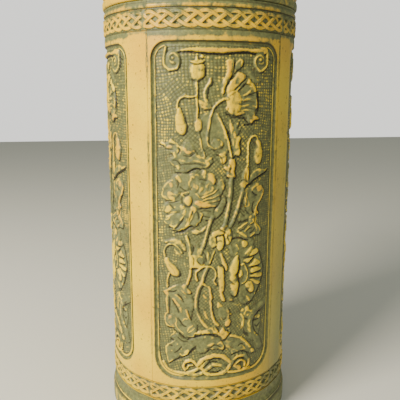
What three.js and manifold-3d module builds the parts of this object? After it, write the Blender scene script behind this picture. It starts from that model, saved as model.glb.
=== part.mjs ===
import * as THREE from 'three';
import { mergeVertices } from 'three/addons/utils/BufferGeometryUtils.js';
import Module from 'manifold-3d';

// Ceramic umbrella stand: a tall pot, nearly round in plan, with four bowed
// faces that meet in narrow flat pilasters. Lengths are in millimetres, +Z is
// up, the origin is the middle of the foot's underside and the front face
// looks towards -Y.

const wasm = await Module();
wasm.setup();

// Plan of the body
const kinkRadius = 120; // axis to the edge between a face and a pilaster
const faceBow = 25.3; // rise of a bowed face over its chord
const pilasterWidth = 26.3;
const wallThickness = 12;
const joint = 0.3; // gap between pieces that are luted together

// Heights, from the floor upwards
const footHeight = 28.8;
const lowerCoveHeight = 16.8;
const braidHeight = 22.8;
const frameBelow = 9.6; // plain strip under the panel
const panelHeight = 394.8;
const frameAbove = 10.8; // plain strip over the panel
const filletHeight = 4.2;
const upperCoveHeight = 4.2;
const torusHeight = 10.8;
const lipHeight = 26.4;

// Mouldings, as the distance that each stands proud or lies back
const footFlare = 3.2;
const footNeck = 0.6; // under the foot's bead
const footBead = 1.4;
const footBeadHeight = 2.4;
const footSlope = 5.6; // from the plinth's face in to the neck
const coveDepth = 1.8;
const braidProud = 0.6;
const braidQuirk = 0.9; // sunk line on each side of a braid
const quirkWidth = 1;
const braidSlope = 1.6; // from a quirk up to the braid
const filletProud = 0.3;
const torusProud = 1.4;
const torusSlope = 2; // at the lower edge of the round moulding
const rimQuirk = 0.8;
const lipProud = 2.4;
const lipSlope = 3.4; // from the sunk line out to the lip
const lipShoulder = 6; // where the lip starts to turn inwards
const softEdge = 0.8; // width of the softened edges

// Floor and foot
const floorThickness = 12;
const footRingWidth = 24;
const footEdgeRounding = 2;

// Panels: a groove cut in the face, and a deeper bed for the relief sheet
const panelWidth = 154; // along the curve of the face
const grooveWidth = 5.4;
const grooveDepth = 3.2;
const bedDepth = 6;
const fieldDepth = 2.2; // the sheet's ground lies this far behind the face
const topCornerRadius = 19;
const bottomCornerRadius = 28;
const beadWidth = 2.4;
const beadHeight = 1.8;

// Relief, as the height that each kind of form stands out of the ground
const leafRise = 1.3;
const stemRise = 1.8;
const flowerRise = 2;
const budRise = 2.6;
const reliefRoot = 1; // how deep each form is rooted in the sheet

// Fineness of the facets
const stepsPerFace = 10;
const stepsPerCorner = 3;
const ovalSides = 8;
const stemStep = 16;

// Levels worked out from the heights
const wallBottom = footHeight + joint;
const lowerBraidBottom = footHeight + lowerCoveHeight;
const lowerBraidTop = lowerBraidBottom + braidHeight;
const panelBottom = lowerBraidTop + frameBelow;
const panelTop = panelBottom + panelHeight;
const upperBraidBottom = panelTop + frameAbove;
const upperBraidTop = upperBraidBottom + braidHeight;
const filletTop = upperBraidTop + filletHeight;
const wallTop = filletTop + upperCoveHeight;
const rimBottom = wallTop + joint;
const torusTop = rimBottom + torusHeight;
const rimTop = torusTop + lipHeight;

// Plan of the body as a radius for each angle from the middle of a face
const pilasterHalfAngle = Math.asin(pilasterWidth / 2 / kinkRadius);
const faceHalfAngle = Math.PI / 4 - pilasterHalfAngle;
const faceChord = kinkRadius * Math.sin(faceHalfAngle);
const faceArcRadius = (faceChord ** 2 + faceBow ** 2) / (2 * faceBow);
const faceArcCentre = kinkRadius * Math.cos(faceHalfAngle) + faceBow - faceArcRadius;

function faceRadius(angle) {
  const across = faceArcCentre * Math.sin(angle);
  return faceArcCentre * Math.cos(angle) + Math.sqrt(faceArcRadius ** 2 - across ** 2);
}

// Angles of the plan's corners: each face in equal steps, each pilaster flat
const planAngles = [];
for (let side = 0; side < 4; side++) {
  for (let step = 0; step <= stepsPerFace; step++) {
    planAngles.push(side * Math.PI / 2 + faceHalfAngle * (2 * step / stepsPerFace - 1));
  }
}
const planRadii = planAngles.map((angle) => {
  const side = Math.round(angle / (Math.PI / 2));
  return faceRadius(angle - side * Math.PI / 2);
});

// A point at a given angle from the front, distance from the axis and height
function around(angle, radius, height) {
  return new THREE.Vector3(radius * Math.sin(angle), -radius * Math.cos(angle), height);
}

// A point on the front face: distance along the curve to the right, height,
// and how far it stands in front of the face
function onFace(along, height, proud) {
  const angle = along / kinkRadius;
  return around(angle, faceRadius(angle) + proud, height);
}

// Solids and their joins and cuts
function toSolid(geometry) {
  const bare = geometry.clone();
  bare.deleteAttribute('normal');
  bare.deleteAttribute('uv');
  const merged = mergeVertices(bare, 1e-4);
  return new wasm.Manifold(new wasm.Mesh({
    numProp: 3,
    vertProperties: new Float32Array(merged.attributes.position.array),
    triVerts: new Uint32Array(merged.index.array),
  }));
}

function toGeometry(solid) {
  const mesh = solid.getMesh();
  const geometry = new THREE.BufferGeometry();
  geometry.setAttribute('position', new THREE.BufferAttribute(mesh.vertProperties, 3));
  geometry.setIndex(new THREE.BufferAttribute(mesh.triVerts, 1));
  return geometry;
}

// A closed skin over rings that have the same number of points each. Joined
// rings run round to the first one again, and others end in a fan at each end.
function loft(rings, joined = false) {
  const count = rings[0].length;
  const points = rings.flat();
  const last = points.length - count;
  const faces = [];
  for (let i = 0; i < rings.length - (joined ? 0 : 1); i++) {
    const ring = i * count;
    const following = (i + 1) % rings.length * count;
    for (let j = 0; j < count; j++) {
      const next = (j + 1) % count;
      faces.push(ring + j, ring + next, following + j);
      faces.push(ring + next, following + next, following + j);
    }
  }
  for (const start of joined ? [] : [0, last]) {
    const middle = new THREE.Vector3();
    for (let j = 0; j < count; j++) middle.addScaledVector(points[start + j], 1 / count);
    const hub = points.push(middle) - 1;
    for (let j = 0; j < count; j++) {
      const next = (j + 1) % count;
      if (start === 0) faces.push(hub, start + next, start + j);
      else faces.push(hub, start + j, start + next);
    }
  }
  const geometry = new THREE.BufferGeometry().setFromPoints(points);
  geometry.setIndex(faces);
  return geometry;
}

// A moulding carried all round the plan: the profile closes on itself and is
// given as [distance in front of the face, height]
function ringOnPlan(profile) {
  const outline = [...profile, profile[0]].map(([proud, height]) => new THREE.Vector2(kinkRadius + proud, height));
  const geometry = new THREE.LatheGeometry(outline, planAngles.length);
  const position = geometry.attributes.position;
  for (let i = 0; i < position.count; i++) {
    const corner = Math.floor(i / outline.length) % planAngles.length;
    const { x: radius, y: height } = outline[i % outline.length];
    const reach = radius - kinkRadius + planRadii[corner];
    const point = around(planAngles[corner], reach, height);
    position.setXYZ(i, point.x, point.y, point.z);
  }
  return toSolid(geometry);
}

// A wedge of the pot between two angles, wide enough to hold any moulding
function wedge(from, to) {
  const reach = 2 * kinkRadius;
  const rim = [from, (from + to) / 2, to].map((angle) => around(angle, reach, 0));
  const shape = new THREE.Shape([new THREE.Vector2(0, 0), ...rim.map(({ x, y }) => new THREE.Vector2(x, y))]);
  return toSolid(new THREE.ExtrudeGeometry(shape, { depth: rimTop, bevelEnabled: false }));
}

// Where a face's facets meet, as distances along its curve
const facetLines = planAngles.slice(0, stepsPerFace + 1).map((angle) => angle * kinkRadius);

// One half of the panel's outline, drawn in by an inset: from its side to its
// middle line, as [distance along the curve, height]. The corner's arc leads
// to the straight edge, which bends at each facet line.
function halfEdge(inset, cornerRadius, edge, inward) {
  const halfWidth = panelWidth / 2 - inset;
  const radius = cornerRadius - inset;
  const arc = [];
  for (let step = 0; step <= stepsPerCorner; step++) {
    const turn = step / stepsPerCorner * Math.PI / 2;
    const along = halfWidth - radius * (1 - Math.cos(turn));
    arc.push([along, edge + inward * (inset + radius * (1 - Math.sin(turn)))]);
  }
  const straight = facetLines.filter((along) => along > 0 && along < panelWidth / 2 - bottomCornerRadius - 1);
  return [...arc, ...straight.reverse().map((along) => [along, edge + inward * inset])];
}

// The whole outline, once round, starting at the right side's lower corner
function panelOutline(inset) {
  const mirrored = (half) => half.map(([along, height]) => [-along, height]);
  const low = halfEdge(inset, bottomCornerRadius, panelBottom, 1);
  const high = halfEdge(inset, topCornerRadius, panelTop, -1);
  const lowMiddle = [[0, panelBottom + inset]];
  const highMiddle = [[0, panelTop - inset]];
  return [
    ...low, ...lowMiddle, ...mirrored(low).reverse(),
    ...mirrored(high), ...highMiddle, ...[...high].reverse(),
  ];
}

// A slab with the panel's outline, between two depths, as upright columns
function panelSlab(inset, back, front) {
  const outline = panelOutline(inset);
  const heightAt = (along, edge) => {
    const i = edge.findIndex(([position]) => position <= along + 1e-6);
    const [[x0, y0], [x1, y1]] = [edge[Math.max(i - 1, 0)], edge[i]];
    return x0 - x1 < 1e-6 ? y1 : y1 + (y0 - y1) * (along - x1) / (x0 - x1);
  };
  const low = outline.slice(0, outline.length / 2);
  const high = outline.slice(outline.length / 2).reverse();
  const positions = [...low, ...high].map(([along]) => along).sort((a, b) => a - b);
  const columns = positions.filter((along, i) => i === 0 || along - positions[i - 1] > 1e-3);
  const rings = columns.map((along) => {
    const [bottom, top] = [heightAt(along, low), heightAt(along, high)];
    return [[bottom, back], [top, back], [top, front], [bottom, front]]
      .map(([height, proud]) => onFace(along, height, proud));
  });
  return toSolid(loft(rings));
}

// A strip that follows the panel's outline between two insets
function panelBead(outside, inside, back, front) {
  const [outer, inner] = [panelOutline(outside), panelOutline(inside)];
  const rings = outer.map((point, i) => [
    onFace(...point, back),
    onFace(...point, front),
    onFace(...inner[i], front),
    onFace(...inner[i], back),
  ]);
  return toSolid(loft(rings, true));
}

// The poppy spray, simplified to its main forms. Each form is placed as
// [distance from the panel's middle line, height above the panel's foot] on a
// sheet of the drawn size, which stretches with the panel.
const drawnWidth = 154;
const drawnHeight = 394.8;

function onPanel(along, height, rise) {
  const place = [along * panelWidth / drawnWidth, panelBottom + height * panelHeight / drawnHeight];
  return onFace(...place, rise - fieldDepth);
}

// A rounded lump with an anticlockwise outline
function mound(outline, rise) {
  const middle = [0, 1].map((axis) => outline.reduce((sum, point) => sum + point[axis], 0) / outline.length);
  const ring = (share, level) => outline.map((point) => {
    const [along, height] = point.map((value, axis) => middle[axis] + (value - middle[axis]) * share);
    return onPanel(along, height, level);
  });
  return toSolid(loft([ring(1, -reliefRoot), ring(0.85, rise)]));
}

// An oval lump that leans to the left by an angle in degrees
function oval(along, height, halfWidth, halfHeight, lean, rise) {
  const tilt = THREE.MathUtils.degToRad(lean);
  const outline = [];
  for (let step = 0; step < ovalSides; step++) {
    const turn = step / ovalSides * 2 * Math.PI;
    const point = new THREE.Vector2(halfWidth * Math.cos(turn), halfHeight * Math.sin(turn));
    point.rotateAround(new THREE.Vector2(), tilt);
    outline.push([along + point.x, height + point.y]);
  }
  return mound(outline, rise);
}

// A stem, ribbon or scroll along a smooth path
function stem(path, halfWidth, rise) {
  const curve = new THREE.CatmullRomCurve3(path.map(([along, height]) => new THREE.Vector3(along, height, 0)));
  const steps = Math.ceil(curve.getLength() / stemStep);
  const rings = [];
  for (let step = 0; step <= steps; step++) {
    const centre = curve.getPointAt(step / steps);
    const ahead = curve.getTangentAt(step / steps);
    const place = (across, level) => onPanel(centre.x + across * ahead.y, centre.y - across * ahead.x, level);
    rings.push([
      place(-halfWidth, -reliefRoot),
      place(-0.5 * halfWidth, rise),
      place(0.5 * halfWidth, rise),
      place(halfWidth, -reliefRoot),
    ]);
  }
  return toSolid(loft(rings));
}

// Glazed earthenware under an olive wash that was wiped off the high places
const cream = { color: 0xe3c16f, roughness: 0.42, metalness: 0 };
const wash = { color: 0x85835a, roughness: 0.5, metalness: 0 };
const bisque = { color: 0xb9a277, roughness: 0.8, metalness: 0 };

const stand = new THREE.Group();

function addPiece(name, solid, finish, quarterTurns = 0) {
  const mesh = new THREE.Mesh(toGeometry(solid), new THREE.MeshStandardMaterial(finish));
  mesh.name = name;
  mesh.rotation.z = quarterTurns * Math.PI / 2;
  stand.add(mesh);
}

// Foot: a hollow plinth whose top carries the walls and the floor
const footRing = ringOnPlan([
  [footFlare - footEdgeRounding, 0],
  [footFlare, footEdgeRounding],
  [footFlare, footHeight - softEdge - footBeadHeight - footSlope],
  [footNeck, footHeight - softEdge - footBeadHeight],
  [footBead, footHeight - footBeadHeight],
  [footBead, footHeight - softEdge],
  [softEdge, footHeight],
  [-footRingWidth, footHeight],
  [-footRingWidth, 0],
]);
addPiece('foot_ring', footRing, wash);

// Floor: a slab that lies on the foot ring inside the walls
const floorReach = -(wallThickness + joint);
const floorOutline = planAngles.map((angle, i) => around(angle, planRadii[i] + floorReach, 0));
const floorShape = new THREE.Shape(floorOutline.map(({ x, y }) => new THREE.Vector2(x, y)));
const floorSlab = new THREE.ExtrudeGeometry(floorShape, { depth: floorThickness, bevelEnabled: false });
floorSlab.translate(0, 0, wallBottom);
addPiece('floor_slab', toSolid(floorSlab), bisque);

// Walls: one moulded body, cut at the joints beside the front and back faces
function braidBand(bottom, top) {
  return [
    [-braidQuirk, bottom],
    [-braidQuirk, bottom + quirkWidth],
    [braidProud, bottom + quirkWidth + braidSlope],
    [braidProud, top - quirkWidth - braidSlope],
    [-braidQuirk, top - quirkWidth],
    [-braidQuirk, top],
  ];
}
const body = ringOnPlan([
  [softEdge, wallBottom],
  [-0.6 * coveDepth, wallBottom + 0.15 * lowerCoveHeight],
  [-coveDepth, wallBottom + 0.4 * lowerCoveHeight],
  [-0.8 * coveDepth, wallBottom + 0.75 * lowerCoveHeight],
  [0, lowerBraidBottom - softEdge],
  ...braidBand(lowerBraidBottom, lowerBraidTop),
  [0, lowerBraidTop + softEdge],
  [0, upperBraidBottom - softEdge],
  ...braidBand(upperBraidBottom, upperBraidTop),
  [filletProud, upperBraidTop + softEdge],
  [filletProud, filletTop - softEdge],
  [-rimQuirk, filletTop + softEdge],
  [-rimQuirk, wallTop],
  [-wallThickness, wallTop],
  [-wallThickness, wallBottom],
]);
const groove = panelSlab(0, -grooveDepth, lipProud);
const bed = panelSlab(grooveWidth, -bedDepth, 0);
const pocket = groove.add(bed);
const jointAngle = joint / kinkRadius;
const seam = faceHalfAngle;
const faceWedge = wedge(-seam + jointAngle / 2, seam - jointAngle / 2);
const sideWedge = wedge(-(Math.PI / 2 - seam) + jointAngle / 2, Math.PI / 2 - seam - jointAngle / 2);
const faceWall = body.intersect(faceWedge).subtract(pocket);
const sideWall = body.intersect(sideWedge).subtract(pocket);
['wall_front', 'wall_right', 'wall_back', 'wall_left'].forEach((name, side) => {
  addPiece(name, side % 2 ? sideWall : faceWall, cream, side);
});

// Panels: a pressed sheet in each bed, with a bead round its edge
const sheetInset = grooveWidth + joint;
const beadInset = sheetInset + softEdge / 2;
const sheet = panelSlab(sheetInset, joint - bedDepth, -fieldDepth);
const bead = panelBead(beadInset, beadInset + beadWidth, -fieldDepth - reliefRoot, beadHeight - fieldDepth);
const scrolls = [
  stem([[-56, 384], [-40, 386], [0, 385.5], [40, 386], [56, 384]], 2.4, stemRise + 0.3),
  oval(-52, 374.5, 9.5, 9.5, 0, stemRise),
  oval(51, 374.5, 9.5, 9.5, 0, stemRise),
  stem([[-42, 15], [-36, 23], [-24, 20], [-8, 10], [4, 9], [18, 22]], 2, stemRise),
  stem([[-36, 10], [-22, 10], [-8, 24], [6, 28], [22, 12], [34, 10], [41, 17], [34, 25]], 2, stemRise),
];
const buds = [
  oval(-24.5, 363, 8.5, 9, 0, budRise),
  oval(-24, 375, 8.5, 3, 4, budRise),
  oval(-42.5, 309.5, 6, 13.5, 8, budRise),
  oval(50.5, 275, 6.3, 13.5, 3, budRise),
  oval(-54, 142, 6, 13.5, 38, budRise),
  oval(22, 130, 5.8, 24, 0, budRise),
  oval(5, 124, 3.6, 21, 0, stemRise),
];
const stems = [
  stem([[-24.5, 355], [-24.5, 322], [-23.5, 303], [-20, 288], [-16, 274]], 1.4, stemRise),
  stem([[-44.5, 321], [-46, 329], [-41, 335], [-33, 337], [-25, 336]], 1.4, stemRise),
  stem([[11, 333], [2, 330], [-6, 321], [-11, 308], [-12, 292], [-8, 282]], 1.4, stemRise),
  stem([[-3, 318], [9, 294], [16, 267], [15, 235], [12, 208], [8, 188]], 1.6, stemRise),
  stem([[53, 288], [46, 293.5], [38, 290], [36.5, 275], [35, 252], [27, 218], [16, 192]], 1.6, stemRise),
  stem([[-7, 200], [-13, 178], [-19, 163]], 1.6, stemRise),
  stem([[-62, 152], [-62, 166], [-50, 172], [-38, 164], [-32, 146], [-36, 122]], 1.6, stemRise),
  stem([[-11, 142], [-20, 126], [-25, 104], [-22, 84], [-11, 68], [6, 58]], 2, stemRise),
  stem([[-24, 130], [-22, 141], [-12, 145], [-2, 138], [-1, 124]], 1.3, stemRise),
  stem([[-17, 124], [-8, 110], [-7, 92], [-2, 74], [8, 60]], 1.5, stemRise),
  stem([[10, 57], [26, 50], [40, 41], [48, 30]], 1.8, stemRise),
  stem([[12, 54], [-4, 58], [-28, 54], [-48, 42]], 1.8, stemRise),
];
const leaves = [
  mound([[-8, 262], [-8, 270], [-26, 282], [-42, 286], [-66, 289], [-56, 269], [-47, 256], [-30, 256]], leafRise),
  mound([[12, 316], [4, 296], [-7, 300], [-9, 284], [6, 276], [14, 268], [25, 270], [25, 290], [18, 310]], leafRise),
  mound([[28, 192], [26, 186], [40, 178], [51, 184], [52, 204], [60, 234], [46, 236], [34, 224]], leafRise),
  mound([[34, 240], [62, 252], [50, 255], [40, 252]], leafRise),
  mound([[-10, 170], [2, 164], [10, 170], [17, 184], [12, 194], [2, 188]], flowerRise),
  mound([[-34, 142], [-18, 144], [-16, 154], [-20, 164], [-32, 156]], leafRise),
  mound([[-64, 70], [-50, 68], [-32, 74], [-30, 98], [-34, 114], [-48, 120], [-64, 112], [-61, 92]], leafRise),
  mound([[-58, 52], [-62, 34], [-60, 20], [-40, 30], [-20, 40], [-8, 46], [-20, 52], [-40, 46]], leafRise),
  mound([[18, 54], [24, 36], [42, 30], [58, 18], [66, 34], [60, 44], [46, 72], [34, 82]], leafRise),
  mound([[-14, 96], [-16, 80], [-6, 70], [10, 76], [18, 92], [8, 98], [0, 92]], leafRise),
];
const flowers = [
  mound([[10, 322], [22, 315], [38, 308], [47, 314], [48, 332], [45, 346], [34, 358], [22, 364], [10, 346]], flowerRise),
  oval(18, 330, 9, 12, 0, flowerRise + 0.7),
  mound([[-6, 204], [4, 220], [-3, 248], [-18, 256], [-36, 250], [-56, 242], [-65, 226], [-63, 206], [-50, 188],
    [-24, 190]], flowerRise),
  oval(-35, 223, 5.5, 6.5, 0, flowerRise + 1),
  mound([[28, 98], [44, 96], [58, 112], [62, 130], [56, 158], [38, 160], [28, 148]], flowerRise),
  oval(34, 132, 5, 11, 0, flowerRise + 0.8),
];
const relief = [bead, ...scrolls, ...leaves, ...flowers, ...stems, ...buds];
const panel = relief.reduce((whole, form) => whole.add(form), sheet);
['front', 'right', 'back', 'left'].forEach((place, side) => {
  addPiece(`poppy_panel_${place}`, panel, wash, side);
});

// Rim: a round moulding, a sunk line and a rounded lip
const lipMiddle = torusTop + lipHeight / 2;
const rimRing = ringOnPlan([
  [-rimQuirk, rimBottom],
  [torusProud, rimBottom + torusSlope],
  [torusProud, torusTop - torusSlope],
  [-rimQuirk, torusTop],
  [-rimQuirk, torusTop + braidSlope],
  [0.7 * lipProud, torusTop + braidSlope + lipSlope],
  [lipProud, lipMiddle],
  [0.8 * lipProud, rimTop - lipShoulder],
  [-0.05 * wallThickness, rimTop - 0.3 * lipShoulder],
  [-0.35 * wallThickness, rimTop],
  [-0.65 * wallThickness, rimTop - 0.1 * lipShoulder],
  [-wallThickness, rimTop - 0.8 * lipShoulder],
  [-wallThickness, rimBottom],
]);
addPiece('rim_ring', rimRing, cream);

export default stand;
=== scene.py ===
from math import cos, pi, radians, sin

import bpy
import numpy as np
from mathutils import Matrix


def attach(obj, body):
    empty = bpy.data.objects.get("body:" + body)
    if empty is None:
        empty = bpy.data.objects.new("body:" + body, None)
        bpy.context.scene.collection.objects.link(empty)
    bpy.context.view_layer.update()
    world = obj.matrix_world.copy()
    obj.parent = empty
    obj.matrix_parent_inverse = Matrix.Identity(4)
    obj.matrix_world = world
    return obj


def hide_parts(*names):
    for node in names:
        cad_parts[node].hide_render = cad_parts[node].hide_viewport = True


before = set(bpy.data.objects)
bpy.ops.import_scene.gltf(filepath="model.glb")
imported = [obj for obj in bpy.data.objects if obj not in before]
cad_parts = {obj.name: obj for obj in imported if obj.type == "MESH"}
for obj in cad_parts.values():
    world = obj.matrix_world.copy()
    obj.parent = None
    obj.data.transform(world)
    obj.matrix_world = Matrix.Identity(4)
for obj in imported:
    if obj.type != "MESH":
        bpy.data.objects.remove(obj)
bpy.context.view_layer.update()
bpy.ops.object.select_all(action="DESELECT")

# The view: the stand from just above its middle, turned a little so that the
# front face and the left-hand pilaster show, with the rim and the foot's
# lower edge outside the picture.
LENS = 44.67
VIEW_FROM = (-0.1208, -0.6507, 0.4172)
VIEW_DOWN = 12.015
VIEW_ROLL = -0.0038
VIEW_TURN = -10.6

camera = bpy.data.objects.new("camera", bpy.data.cameras.new("camera"))
camera.data.lens = LENS
camera.location = VIEW_FROM
camera.rotation_euler = (radians(90 - VIEW_DOWN), VIEW_ROLL, radians(VIEW_TURN))
bpy.context.collection.objects.link(camera)
bpy.context.scene.camera = camera


# The studio: a pale floor, a large soft lamp from the left front, a weak one
# on the right and an even sky, which is seen paler than it lights.
def linear(colour):
    """An sRGB hex colour as the linear one that shaders read."""
    parts = [int(colour[place:place + 2], 16) / 255 for place in (0, 2, 4)]
    return (*[part / 12.92 if part < 0.04045 else ((part + 0.055) / 1.055) ** 2.4 for part in parts], 1)


def add(material, kind, inputs=None, **settings):
    """One shader node, with its settings, and its inputs set or linked."""
    tree = material.node_tree
    node = tree.nodes.new(kind)
    for setting, value in settings.items():
        setattr(node, setting, value)
    for socket, value in (inputs or {}).items():
        if isinstance(value, bpy.types.NodeSocket):
            tree.links.new(value, node.inputs[socket])
        else:
            node.inputs[socket].default_value = value
    return node


bpy.ops.mesh.primitive_plane_add(size=8)
floor = bpy.context.object
floor.name = "studio_floor"
floor.data.materials.append(bpy.data.materials.new("studio_paper"))
paper = floor.data.materials[0]
paper.use_nodes = True
paper.node_tree.nodes["Principled BSDF"].inputs["Base Color"].default_value = linear("e6e3da")
paper.node_tree.nodes["Principled BSDF"].inputs["Roughness"].default_value = 0.85

for lamp, place, aim, width, power, colour in (
    ("key_lamp", (-1.5, -0.95, 1.3), (0.9, 0, -0.98), 0.8, 84, (1, 0.94, 0.78)),
    ("fill_lamp", (1.7, -1.2, 0.9), (0.9, 0, 0.95), 1.4, 5, (0.95, 1, 0.9)),
):
    light = bpy.data.lights.new(lamp, "AREA")
    light.size = width
    light.energy = power
    light.color = colour
    stand_lamp = bpy.data.objects.new(lamp, light)
    stand_lamp.location = place
    stand_lamp.rotation_euler = aim
    bpy.context.collection.objects.link(stand_lamp)

sky = bpy.data.worlds.new("studio_sky")
bpy.context.scene.world = sky
sky.use_nodes = True
lighting = sky.node_tree.nodes["Background"]
lighting.inputs["Color"].default_value = linear("e2e8dc")
lighting.inputs["Strength"].default_value = 0.4
backdrop = add(sky, "ShaderNodeBackground", {"Color": linear("f4f3ee"), "Strength": 1.4})
seen = add(sky, "ShaderNodeMixShader", {0: add(sky, "ShaderNodeLightPath").outputs["Is Camera Ray"],
                                        1: lighting.outputs[0], 2: backdrop.outputs[0]})
sky.node_tree.links.new(seen.outputs[0], sky.node_tree.nodes["World Output"].inputs["Surface"])

# Foot ring: the hollow plinth, thrown in the same buff clay as the body, with
# a bead at its top. Its flat underside is the only face that the stand rests
# on. The outline in plan is the body's. From here on lengths are in mm, heights
# go up from the floor, and angles go round from the front towards the right.
MM = 0.001
KINK_RADIUS = 120
FACE_RADIUS = 123.87
FACE_CENTRE = -4.91
PILASTER_FLAT = 119.28
KINK_ROUNDING = 0.12
RING_STEPS = 288
OUTER_SKIN = 112
FOOT_SHOULDER = 19
FOOT_COVE = 24.6
FOOT_BEAD = 27.2
FOOT_JOINT = 28.9

# the plinth in section: (proud of the body's face, height)
FOOT_PROFILE = [
    (1.2, 0), (3.2, 2), (3.2, 20), (0.6, 25.4), (1.4, 26.4), (1.4, 28), (0.8, 28.8), (-24, 28.8), (-24, 0),
]


def plan(turn):
    """Distance in mm from the axis to the body's face, at an angle round from the front."""
    turn = np.asarray(turn, dtype=float)
    across = np.abs(turn - np.round(turn / (pi / 2)) * pi / 2)
    face = FACE_CENTRE * np.cos(across) + np.sqrt(FACE_RADIUS ** 2 - (FACE_CENTRE * np.sin(across)) ** 2)
    flat = PILASTER_FLAT / np.cos(pi / 4 - across)
    return (face + flat - np.sqrt((face - flat) ** 2 + KINK_ROUNDING ** 2)) / 2


def read_points(mesh):
    """A mesh's vertices, in mm."""
    points = np.empty(3 * len(mesh.vertices))
    mesh.vertices.foreach_get("co", points)
    return points.reshape(-1, 3) / MM


def write_points(mesh, turn, radius, height):
    """Puts each vertex at an angle, distance from the axis and height in mm."""
    points = np.column_stack((radius * np.sin(turn), -radius * np.cos(turn), height)) * MM
    mesh.vertices.foreach_set("co", points.ravel())
    mesh.update()


def paint(mesh, **amounts):
    """Stores how far the glaze is wiped, dark or tan at each vertex; wiped also holds painted highlight and
    dark holds painted shadow.
    """
    for name, amount in amounts.items():
        layer = mesh.attributes.new(name, "FLOAT", "POINT")
        layer.data.foreach_set("value", np.clip(amount, 0, 1).astype(np.float32))


def along_line(value, line, width):
    """1 on a line, fading to nothing within about twice that width on both sides of it."""
    return np.exp(-((value - line) / width) ** 2)


def moulding(name, profile, steps):
    """A closed profile of (proud of the face, height) carried round the plan."""
    bpy.ops.object.select_all(action="DESELECT")
    bpy.ops.mesh.primitive_circle_add(vertices=len(profile), radius=0.1)
    piece = bpy.context.object
    piece.name = piece.data.name = name
    proud, height = np.array(profile, dtype=float).T
    write_points(piece.data, np.zeros(len(profile)), KINK_RADIUS + proud, height)
    bpy.ops.object.mode_set(mode="EDIT")
    bpy.ops.mesh.select_all(action="SELECT")
    bpy.ops.mesh.spin(steps=steps, angle=2 * pi, center=(0, 0, 0), axis=(0, 0, 1))
    bpy.ops.mesh.select_all(action="SELECT")
    bpy.ops.mesh.remove_doubles(threshold=0.01 * MM)
    bpy.ops.mesh.normals_make_consistent(inside=False)
    bpy.ops.object.mode_set(mode="OBJECT")
    x, y, z = read_points(piece.data).T
    turn = np.arctan2(x, -y)
    write_points(piece.data, turn, np.hypot(x, y) - KINK_RADIUS + plan(turn), z)
    bpy.ops.object.shade_smooth()
    return piece


def rounded(corners, radius, steps):
    """A closed profile with each corner turned into a short curve."""
    corners = np.array(corners, dtype=float)
    curve = []
    for before, corner, after in zip(np.roll(corners, 1, 0), corners, np.roll(corners, -1, 0)):
        ends = []
        for side in (before - corner, after - corner):
            length = np.hypot(*side)
            ends.append(corner + side / length * min(radius, 0.45 * length))
        for share in np.linspace(0, 1, steps + 1):
            curve.append(ends[0] * (1 - share) ** 2 + 2 * corner * share * (1 - share) + ends[1] * share ** 2)
    return curve


# Glaze: a satin lead glaze on earthenware. It is cream-yellow where the olive wash was wiped off, olive-grey
# where the wash lies, and brown-black where it pooled in the sunk lines. The wiped share also carries painted
# highlight on the upper left edges of raised forms, and the dark share carries painted shadow under their
# lower right. Fine crazing and iron specks run all over it.
# The sizes are in mm. The sponge's streaks are long and upright. The crazing
# is drawn about twice as coarse as the real one, so that it shows.
SMEAR_SIZE = 5
CLOUD_SIZE = 90.909
GRIT_SIZE = 2.381
STREAK_SIZE = 10.5263
STREAK_SHAPE = (1, 1, 0.16)
CRAZE_SIZE = 6.6667
SPECK_SIZE = 3.8462
SKIN_DEPTH = 0.6
# where the darker, greener right-hand side (film of wash and painted shade) comes in across, fades past the
# pilaster and thins up the wall
FILM_SHADE_FROM = 45
FILM_SHADE_WHOLE = 90
PILASTER_FROM = 93
PILASTER_TO = 108
FILM_SHADE_LOW = 100
FILM_SHADE_HIGH = 400
PIT_PLACE = (-84.3, -84.3, 318.5)
PIT_FLOOR = 0.6
PIT_RADIUS = 1.3

glaze = bpy.data.materials.new("wiped_olive_and_cream_glaze")
glaze.use_nodes = True
glaze_shader = glaze.node_tree.nodes["Principled BSDF"]
place = add(glaze, "ShaderNodeTexCoord").outputs["Object"]
wiped = add(glaze, "ShaderNodeAttribute", attribute_name="wiped").outputs["Fac"]
dark = add(glaze, "ShaderNodeAttribute", attribute_name="dark").outputs["Fac"]
tan = add(glaze, "ShaderNodeAttribute", attribute_name="tan").outputs["Fac"]
smears = add(glaze, "ShaderNodeTexNoise",
             {"Vector": place, "Scale": 1 / (SMEAR_SIZE * MM), "Detail": 5, "Roughness": 0.62})
clouds = add(glaze, "ShaderNodeTexNoise", {"Vector": place, "Scale": 1 / (CLOUD_SIZE * MM), "Detail": 3})
grit = add(glaze, "ShaderNodeTexNoise", {"Vector": place, "Scale": 1 / (GRIT_SIZE * MM), "Detail": 2})
drawn = add(glaze, "ShaderNodeMapping", {"Vector": place, "Scale": STREAK_SHAPE})
streaks = add(glaze, "ShaderNodeTexNoise",
              {"Vector": drawn.outputs[0], "Scale": 1 / (STREAK_SIZE * MM), "Detail": 4})

cloudy = add(glaze, "ShaderNodeMapRange",
             {"Value": clouds.outputs["Fac"], "From Min": 0.35, "From Max": 0.68})
cream_shade = add(glaze, "ShaderNodeMix",
                  {0: cloudy.outputs[0], 6: linear("f6d60c"), 7: linear("e0b404")}, data_type="RGBA")
cream_tan = add(glaze, "ShaderNodeMix", {0: tan, 6: cream_shade.outputs[2], 7: linear("dc9218")},
                data_type="RGBA")
smeary = add(glaze, "ShaderNodeMapRange",
              {"Value": smears.outputs["Fac"], "From Min": 0.3, "From Max": 0.7})
olive_shade = add(glaze, "ShaderNodeMix",
                  {0: smeary.outputs[0], 6: linear("525638"), 7: linear("848650")}, data_type="RGBA")
uneven = add(glaze, "ShaderNodeMath", {0: smears.outputs["Fac"], 1: streaks.outputs["Fac"]}, operation="ADD")
uneven_half = add(glaze, "ShaderNodeMath", {0: uneven.outputs[0], 1: 0.9, 2: -0.9}, operation="MULTIPLY_ADD")
wiped_uneven = add(glaze, "ShaderNodeMath", {0: wiped, 1: uneven_half.outputs[0]}, operation="ADD")
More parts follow.
